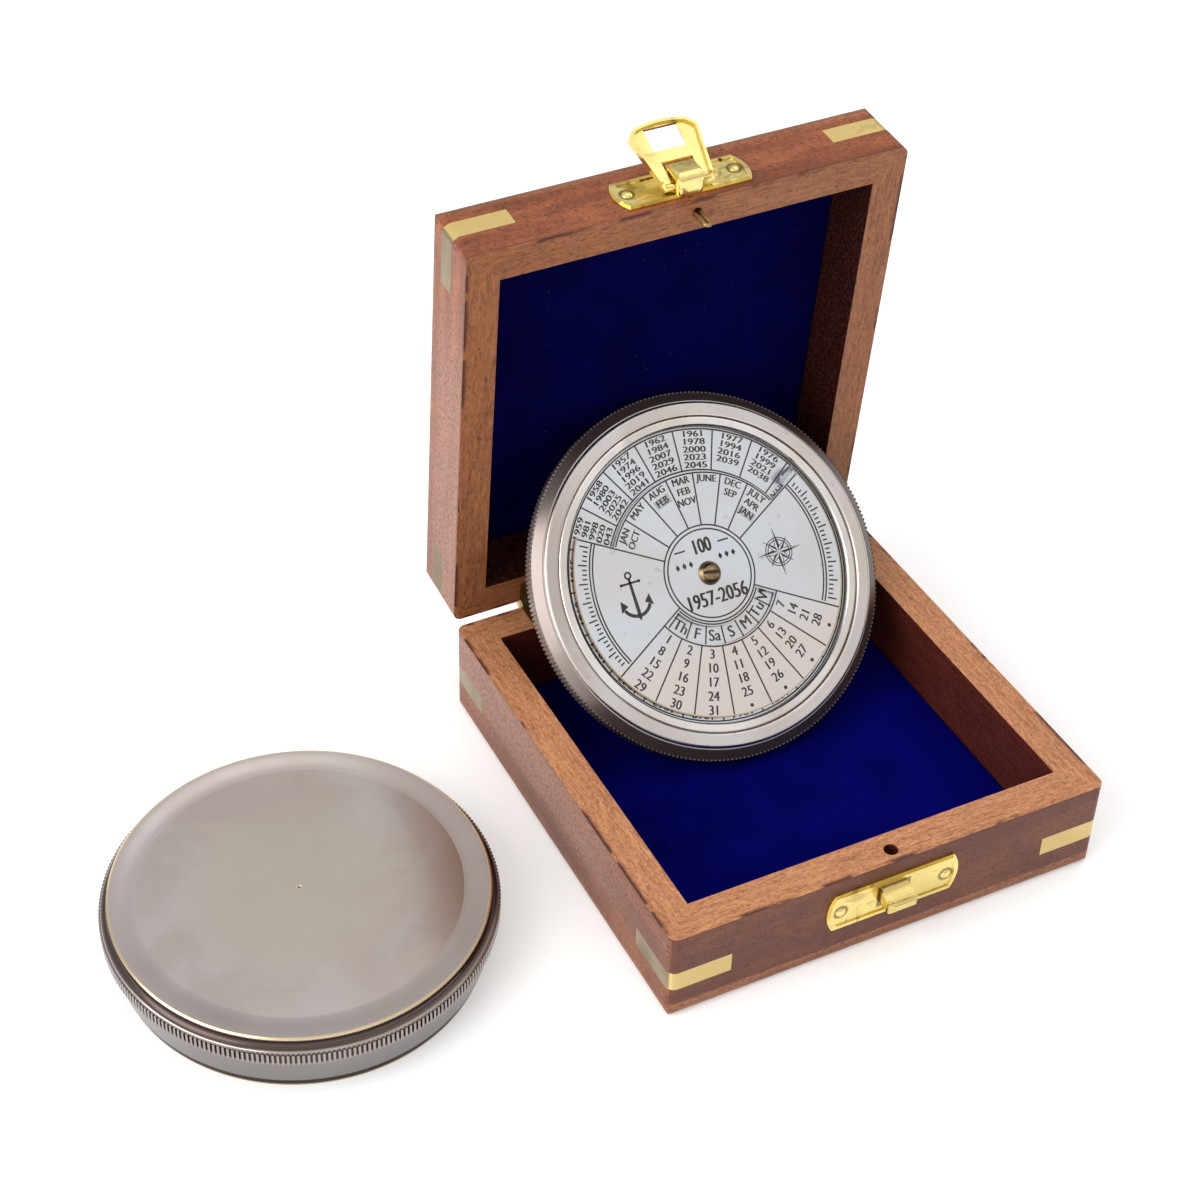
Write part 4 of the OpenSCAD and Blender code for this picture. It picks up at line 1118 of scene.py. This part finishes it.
@dataclass
class CalendarLid:
    """The calendar lid with its year plate and its turning plate, in millimetres and degrees.

    Attributes:
        centre: Middle of the face.
        dial: Radius of the dial; the radii below are shares of it.
        year_face: Height of the year plate's face from the lid's face.
        turn_face: Height of the turning plate's face.
        year_turn: Turn of the year cells.
        years: First and last year on the dial.
        year_rings: Circles around the years and around the weekdays.
        year_spokes: Ends of the lines between the years, with day_spokes for those between the weekdays.
        year_rows: Radius of the first row of years, and the way to the next one; so too for months and dates.
        ticks: Inner end of the wings' graduation, and outer ends of its short and long lines.
        anchor_at: Middle of the anchor, with rose_at for the wind rose.
        months: Names of the months in each cell; a star marks a month of leap years.
        hatching: Heights of the fine lines behind such a month.
    """

    centre: Triple = (0.0, 26.4, 38.4)
    lean: float = 45.0
    dial: float = 32.3
    year_face: float = -1.7
    turn_face: float = -0.65
    year_turn: float = 4.6
    years: tuple[int, int] = (1957, 2056)
    year_rings: tuple[float, ...] = (0.708, 0.988, 0.352, 0.486)
    year_spokes: Point = (0.712, 0.984)
    day_spokes: Point = (0.356, 0.482)
    weekday_row: float = 0.42
    year_rows: Point = (0.953, -0.0535)
    month_rows: Point = (0.642, -0.072)
    date_rows: Point = (0.548, 0.0935)
    ticks: Triple = (0.872, 0.905, 0.935)
    anchor_at: Point = (-18.4, 0.0)
    rose_at: Point = (17.2, 0.0)
    months: tuple[tuple[str, ...], ...] = (
        ("JAN", "OCT"), ("MAY",), ("AUG", "*FEB"), ("MAR", "FEB", "NOV"), ("JUNE",), ("DEC", "SEP"),
        ("JULY", "APR", "*JAN"))
    hatching: tuple[float, ...] = (-0.84, -0.42, 0.0, 0.42, 0.84)
    weekdays: tuple[str, ...] = ("S", "M", "Tu", "W", "Th", "F", "Sa")

    def place(self) -> Matrix:
        """Place of the face."""
        return Matrix.Translation(Vector(self.centre) * MM) @ Matrix.Rotation(math.radians(self.lean), 4, "X")

    def row(self, rows: Point, i: int) -> float:
        """Radius of one row of figures in millimetres."""
        return (rows[0] + rows[1] * i) * self.dial

    def year_cells(self) -> dict[int, list[int]]:
        """Sort the years into the cells of the dial.

        Returns:
            Years by cell. A cell's number follows the year's weekday shift, so that the dates below fall on true
            weekdays.
        """
        cells: dict[int, list[int]] = {k: [] for k in range(CELLS)}
        for key in range(7):
            years = [y for y in range(self.years[0], self.years[1] + 1)
                     if (y + y // 4 - y // 100 + y // 400) % 7 == key]
            for i, year in enumerate(years):
                cells[(key - 1 + 7 * (i % 3)) % CELLS].append(year)
        return cells

    def engrave_years(self, ink: Material) -> None:
        """Engrave the years and the weekdays on the year plate.

        Args:
            ink: The filling.
        """
        cut, d, finish = Engraver(self.year_face), self.dial, (self.place(), ink, "calendar_lid")
        year_form, day_form, first = Lettering(1.95, 1.4, 0.08), Lettering(3.5, 0.92, 0.08), 90.0 + self.year_turn
        lines, figures, names = [cut.ring(r * d) for r in self.year_rings], [], []
        for k, years in self.year_cells().items():
            for turn, ends in ((first, self.year_spokes), (first + 180.0, self.day_spokes)):
                lines.append(cut.spoke(turn + (k + 0.5) * CELL, *(r * d for r in ends)))
            for i, year in enumerate(years):
                r = self.row(self.year_rows, i)
                figures += cut.figure(str(year), r, first + k * CELL, Reading.OUTWARD, year_form)
            r, day = self.weekday_row * d, self.weekdays[k % 7]
            names += cut.figure(day, r, first + 180.0 + k * CELL, Reading.INWARD, day_form)
        engrave("year_plate_lines", lines, *finish)
        engrave("year_figures", figures, *finish)
        engrave("weekday_figures", names, *finish)

    def plate_lines(self, cut: Engraver) -> list[Object]:
        """Draw the lines between the turning plate's fields.

        Args:
            cut: The engraver.

        Returns:
            The lines.
        """
        # Radii as shares of the dial's, and angles in degrees.
        d = self.dial
        months, dates, wings = (0.331, 0.680), (0.497, 0.955), (0.331, 0.958)
        spokes = [(angle, wings) for angle in (29.4, 150.6, 210.0, 330.0)]
        spokes += [(start + i * CELL, ends) for i in range(1, 7) for start, ends in ((30.0, months), (210.0, dates))]
        arcs = [(0.684, 30.6, 149.4), (0.493, 210.4, 329.6), (0.345, 212.0, 328.0)]
        arcs += [(r, start, start + 58.0) for start in (-29.0, 151.0) for r in (0.832, 0.853)]
        lines = [cut.ring(hub * d) for hub in (0.300, 0.327)]
        lines += [cut.spoke(angle, near * d, far * d) for angle, (near, far) in spokes]
        return lines + [cut.arc(r * d, start, end) for r, start, end in arcs]

    def month_names(self, cut: Engraver, leap: bool) -> list[Object]:
        """Write the months of all years, or those of leap years on fine hatching.

        Args:
            cut: The engraver.
            leap: Whether those of leap years are meant.

        Returns:
            Texts and lines.
        """
        parts = []
        for m, names in enumerate(self.months):
            for i, name in enumerate(names):
                if name.startswith("*") is not leap:
                    continue
                r, angle = self.row(self.month_rows, i), 90.0 + (3 - m) * CELL
                parts += cut.figure(name.lstrip("*"), r, angle, Reading.OUTWARD, Lettering(2.25, 0.9, 0.08))
                for rise in self.hatching if leap else ():
                    stroke = turned_oblong((-2.05, rise - 0.055), (2.05, rise + 0.055), polar(r, angle),
                                           angle + Reading.OUTWARD.value)
                    parts.append(cut.shape([stroke]))
        return parts

    def date_figures(self, cut: Engraver) -> list[Object]:
        """Write the dates, with dots after the last one.

        Args:
            cut: The engraver.

        Returns:
            Texts and dots.
        """
        dates = []
        for column in range(7):
            for i in range(5):
                day, r, angle = 1 + column + 7 * i, self.row(self.date_rows, i), 270.0 + (column - 3) * CELL
                if day <= 31:
                    dates += cut.figure(str(day), r, angle, Reading.INWARD, Lettering(2.95, 0.9, 0.07))
                else:
                    dates += cut.drawing([[dot(0.42)]], polar(r, angle))
        return dates

    def span_figures(self, cut: Engraver) -> list[Object]:
        """Write the count and the span of years in the middle, with short rules and diamonds.

        Args:
            cut: The engraver.

        Returns:
            Texts and shapes.
        """
        parts = cut.words("-".join(map(str, self.years)), (0.0, -5.4), 0.0, Lettering(4.6, 0.75, 0.13))
        parts += cut.words("100", (0.0, 6.0), 0.0, Lettering(4.6, 0.68, 0.13))
        diamond = [polar(0.75 if i % 2 else 0.5, 90.0 * i) for i in range(4)]
        for side in (-1.0, 1.0):
            parts.append(cut.shape([oblong((side * 4.0, 5.9), (side * 6.6, 6.25))]))
            parts += [cut.shape([shift(diamond, side * x, 2.9)]) for x in (3.6, 5.2, 6.8)]
        return parts

    @staticmethod
    def anchor() -> Shapes:
        """Draw a plain anchor.

        Returns:
            The outlines of its parts.
        """
        shapes = [[shift(line, 0.0, 4.6) for line in ring(0.66, 0.42)],
                  [[(-0.42, -4.15), (0.42, -4.15), (0.3, 3.86), (-0.3, 3.86)]],
                  [oblong((-2.1, 2.7), (2.1, 3.15))],
                  [shift(arc_band(3.3, 0.75, 205.0, 335.0)[0], 0.0, -1.0)],
                  [[(-0.55, -4.5), (0.55, -4.5), (0.0, -5.4)]]]
        for side in (-1.0, 1.0):
            shapes.append([[(side * 2.0, -1.75), (side * 3.85, -2.85), (side * 3.4, -0.25)]])
            shapes.append([shift(dot(0.36), side * 2.1, 2.92)])
        return shapes

    def engrave_turning_plate(self, ink: Material) -> None:
        """Engrave months, dates and ornaments on the turning plate.

        Args:
            ink: The filling.
        """
        cut, d, finish = Engraver(self.turn_face), self.dial, (self.place(), ink, "calendar_plate")
        engrave("turning_plate_lines", self.plate_lines(cut), *finish)
        near, short, full = (share * d for share in self.ticks)
        ticks = [cut.spoke(start + i * 2.0, near, short if i % 4 else full)
                 for start in (-27.0, 153.0) for i in range(28)]
        engrave("wing_graduation", ticks, *finish)
        engrave("month_figures", self.month_names(cut, False), *finish)
        engrave("leap_month_figures", self.month_names(cut, True), *finish)
        engrave("date_figures", self.date_figures(cut), *finish)
        engrave("span_figures", self.span_figures(cut), *finish)
        engrave("anchor", cut.drawing(self.anchor(), self.anchor_at), *finish)
        wind = [ring(2.55, 0.2), ring(3.1, 0.2)] + rose(0.15, (5.5, 4.0), (1.5, 1.3), (0.5, 0.16, 0.08), (1.2, 19.0))
        engrave("wind_rose", cut.drawing(wind, self.rose_at), *finish)

    def dress_metal(self) -> None:
        """Give the lid's metal pieces their finishes."""
        axis = (tuple(v * MM for v in self.centre), self.lean)
        dark = (0.06, 0.042, 0.032)
        shine = Drift((-0.98, 0.2, 0.0), (24.0, 38.0), (0.47, 0.40, 0.37), 0.6)
        bands = (Band((38.15, 41.0), (-6.0, -0.9), (0.080, 0.050, 0.042), 0.96, 0.3, 0.45),
                 Band((39.0, 40.14), (-5.2, -2.5), dark, 0.8, 0.05),
                 Band((34.3, 34.75), (-2.5, -0.25), (0.16, 0.12, 0.10), 0.75))
        dress(TurnedMetal("lid_silver", *axis, (0.70, 0.66, 0.645), (0.56, 0.50, 0.47), bands=bands, over=(shine,)),
              "calendar_shell")
        dress(TurnedMetal("bezel_silver", *axis, (0.88, 0.84, 0.82),
                          bands=(Band((32.2, 32.62), (-2.0, -0.3), dark, 0.7),)), "calendar_bezel")
        plate = ((0.71, 0.75, 0.81), (0.68, 0.645, 0.63), (0.71, 0.65, 0.60), (0.3, 0.46))
        dress(TurnedMetal("year_plate_silver", *axis, *plate), "year_plate")
        edge = Band((30.95, 31.4), (-1.4, -0.5), (0.50, 0.36, 0.16), 0.8, 0.05)
        # Painted warm light towards the turning plate's lower side.
        painted_warm_light = Drift((0.0, -1.0, 0.0), (7.0, 19.0), (0.80, 0.70, 0.645), 0.7)
        dress(TurnedMetal("turning_plate_silver", *axis, *plate, (edge,), under=(painted_warm_light,)), "turning_plate")
        slot = Band((0.0, 1.95), (-0.7, 0.5), dark, 0.9, 0.05)
        dress(TurnedMetal("pivot_bronze", *axis, (0.33, 0.235, 0.13), (0.13, 0.085, 0.05), (0.30, 0.20, 0.10),
                          (0.22, 0.4), (slot,)), "pivot_screw", "pivot_nut", "calendar_spacer")

    def build(self) -> None:
        """Dress and engrave the calendar lid."""
        self.dress_metal()
        ink = EnamelFill("dial_black").material()
        self.engrave_years(ink)
        self.engrave_turning_plate(ink)


@dataclass
class CompassBowl:
    """The compass bowl, mouth down, with its card, needle and glass, in millimetres.

    Attributes:
        middle: Middle of the mouth on the table.
        card_reach: Radius of the print on the card.
        card_rings: Circles on the card, from the print's rim inwards; degree_row and letter_row are so too.
    """

    middle: Triple = (-107.0, 0.0, 0.0)
    height: float = 15.0
    card_reach: float = 33.0
    card_rings: Triple = (0.0, 2.2, 8.2)
    degree_row: float = 4.1
    letter_row: float = 11.4

    def dress_pieces(self) -> None:
        """Give the bowl's pieces their finishes."""
        axis, top = (tuple(v * MM for v in self.middle), 0.0), self.height
        dark, gold = (0.035, 0.025, 0.02), (0.80, 0.62, 0.36)
        dish, brim = (top - 1.5, top + 0.2), top + 0.2
        bands = (Band((0.0, 14.0), dish, (0.60, 0.545, 0.45), 0.6, 14.0),
                 Band((34.0, 37.8), (top - 0.6, brim), (0.52, 0.46, 0.465), 0.35, 1.2),
                 Band((0.0, 0.55), dish, gold, 0.6, 0.3),
                 Band((0.0, 0.22), dish, dark, 0.8, 0.1),
                 Band((38.1, 38.9), (top - 0.4, brim), gold, 0.75, 0.1),
                 Band((36.0, 39.7), (top - 2.3, top - 0.5), (0.075, 0.05, 0.046), 0.94, 0.2),
                 Band((39.0, 41.0), (top - 5.6, top - 2.6), (0.33, 0.285, 0.27), 0.9, 0.15),
                 Band((38.8, 40.08), (top - 5.3, top - 2.9), dark, 0.95, 0.05),
                 Band((36.0, 39.6), (2.3, top - 5.7), (0.21, 0.19, 0.19), 0.92, 0.2),
                 # Painted shadow on the collar's upper part, under the side's overhang.
                 Band((36.0, 37.9), (0.55, 2.4), dark, 0.96, 0.08),
                 Band((36.0, 37.9), (0.1, 0.45), (0.42, 0.32, 0.2), 0.8, 0.1))
        dress(TurnedMetal("bowl_silver", *axis, (0.62, 0.57, 0.55), (0.47, 0.40, 0.385), (0.58, 0.50, 0.41),
                          (0.16, 0.28), bands, 0.07, Band((38.2, 45.0), (top - 0.8, brim), gold, 1.0, 4.6),
                          # Painted brown shadow towards the right of the face.
                          (Drift((0.98, -0.17, 0.0), (16.0, 31.0), (0.40, 0.295, 0.245), 0.55),)), "bowl_shell")
        dress(TurnedMetal("glass_ring_silver", *axis), "glass_ring")
        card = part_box("compass_card")
        dress(PrintedCard("card_paper", tuple((card[0] + card[1]) / 2)), "compass_card")
        dress(WindowGlass("compass_glass_clear"), "compass_glass")
        dress(BluedNeedle("needle_steel"), "needle_blade")
        dress(SheetMetal("cap_brass", (0.72, 0.52, 0.22), (0.4, 0.26, 0.1), (0.2, 0.4)), "needle_cap")
        dress(SheetMetal("pin_steel", (0.5, 0.5, 0.52), (0.3, 0.29, 0.28), (0.2, 0.4)), "pivot_pin")

    def print_card(self, ink: Material, red: Material) -> None:
        """Print graduations, points and figures on the compass card.

        Args:
            ink: The dark print.
            red: The red print.
        """
        low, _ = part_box("compass_card")
        cut, r = Engraver(0.0, 0.22, 0.03), self.card_reach
        place = Matrix.Translation((self.middle[0] * MM, self.middle[1] * MM, low.z)) @ Matrix.Rotation(math.pi, 4, "X")
        marks = [cut.ring(r - inset) for inset in self.card_rings]
        marks += [cut.spoke(2.0 * i, r - (1.1 if i % 5 else 2.0), r - 0.2) for i in range(180)]
        for i in range(12):
            marks += cut.figure(str(30 * i), r - self.degree_row, 90.0 - 30.0 * i, Reading.OUTWARD, Lettering(2.6))
        for word, angle in (("E", 0.0), ("S", 270.0), ("W", 180.0)):
            marks += cut.figure(word, r - self.letter_row, angle, Reading.OUTWARD, Lettering(5.2))
        points = rose(2.6, (17.5, 12.5), (3.4, 3.0), (1.2, 0.15, 0.1), (0.9, 20.0))
        engrave("card_print", marks + cut.drawing(points, (0.0, 0.0)), place, ink, "bowl")
        north = cut.figure("N", r - self.letter_row, 90.0, Reading.OUTWARD, Lettering(5.6))
        engrave("card_north", north, place, red, "bowl")

    def build(self) -> None:
        """Dress the bowl and print its card."""
        self.dress_pieces()
        ink = EnamelFill("card_black", (0.02, 0.018, 0.016), (0.06, 0.05, 0.045)).material()
        red = EnamelFill("card_red", (0.33, 0.02, 0.015), (0.42, 0.07, 0.05)).material()
        self.print_card(ink, red)


# The studio


@dataclass
class Studio:
    """Pale floor, soft light and the camera, in metres, degrees and pixels.

    Attributes:
        focal: Focal length in pixels.
        middle: Pixel that the camera's axis meets.
        picture: Width and height of the picture in pixels.
        floor: Side and height of the floor.
        bright: Direction that the room's light comes from.
        glow: Least and greatest strength of the room's light.
    """

    azimuth: float = -23.508
    elevation: float = 37.887
    roll: float = -0.991
    eye: Triple = (-0.2096, -0.3127, 0.3719)
    focal: float = 2389.86
    middle: Point = (445.6, 480.3)
    picture: float = 1200.0
    floor: Point = (6.0, -0.00006)
    bright: Triple = (-0.3, -0.3, 0.9)
    glow: Point = (0.45, 0.95)

    def build_camera(self) -> None:
        """Set the camera to the photographed view."""
        az, el, roll = (math.radians(v) for v in (self.azimuth, self.elevation, self.roll))
        back = Vector((math.sin(az) * math.cos(el), -math.cos(az) * math.cos(el), math.sin(el)))
        right = Vector((math.cos(az), math.sin(az), 0.0))
        up = back.cross(right)
        right, up = math.cos(roll) * right + math.sin(roll) * up, math.cos(roll) * up - math.sin(roll) * right
        data = bpy.data.cameras.new("camera")
        data.sensor_width = 36.0
        data.sensor_fit = "HORIZONTAL"
        data.lens = self.focal / self.picture * data.sensor_width
        data.shift_x = 0.5 - self.middle[0] / self.picture
        data.shift_y = self.middle[1] / self.picture - 0.5
        data.clip_start = 0.01
        obj = bpy.data.objects.new("camera", data)
        obj.matrix_world = Matrix.Translation(self.eye) @ Matrix((right, up, back)).transposed().to_4x4()
        bpy.context.collection.objects.link(obj)
        bpy.context.scene.camera = obj

    def build_floor(self) -> None:
        """Lay the pale floor."""
        size, level = self.floor
        bpy.ops.object.select_all(action="DESELECT")
        bpy.ops.mesh.primitive_plane_add(size=size, location=(0.0, 0.0, level))
        floor = bpy.context.view_layer.objects.active
        floor.name = "studio_floor"
        floor.data.materials.append(PaleFloor("pale_floor").material())

    def build_world(self) -> None:
        """Light the room: bright above the front, dimmer towards the back."""
        world = bpy.data.worlds.new("studio")
        world.use_nodes = True
        s = Sketch(world.node_tree)
        lean = s.draw("TexCoord", {}, "Generated").vector("DOT_PRODUCT", self.bright)
        glow = lean.step(-0.25, 0.95).span(*self.glow)
        sky = s.draw("Background", {"Color": (1.0, 0.99, 0.975, 1.0), "Strength": glow})
        s.add("OutputWorld", {"Surface": sky})
        bpy.context.scene.world = world

    @staticmethod
    def hang_lamp(name: str, at: Triple, aim: Triple, power: float, side: float = 1.2) -> None:
        """Hang a soft square lamp.

        Args:
            name: Name of the lamp.
            at: Its place in metres.
            aim: The point that it shines at.
            power: Power in watts.
            side: Side of the square in metres.
        """
        data = bpy.data.lights.new(name, "AREA")
        data.shape = "SQUARE"
        data.size = side
        data.energy = power
        obj = bpy.data.objects.new(name, data)
        obj.location = at
        obj.rotation_euler = (Vector(aim) - Vector(at)).to_track_quat("-Z", "Y").to_euler()
        bpy.context.collection.objects.link(obj)

    def build(self) -> None:
        """Set up the whole studio."""
        self.build_camera()
        self.build_floor()
        self.build_world()
        self.hang_lamp("key_softbox", (-1.2, -0.15, 0.8), (0.0, 0.0, 0.03), 13.0)
        self.hang_lamp("top_softbox", (0.45, 0.15, 1.2), (0.0, 0.0, 0.05), 2.4)
        bpy.context.scene.view_settings.view_transform = "Standard"


def main() -> None:
    """Dress every sub-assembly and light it."""
    logging.basicConfig(level=logging.INFO, format="%(message)s")
    for part in (Studio(), WoodenCase(), CalendarLid(), CompassBowl()):
        LOG.info("making %s", type(part).__name__)
        part.build()


if __name__ == "__main__":
    main()
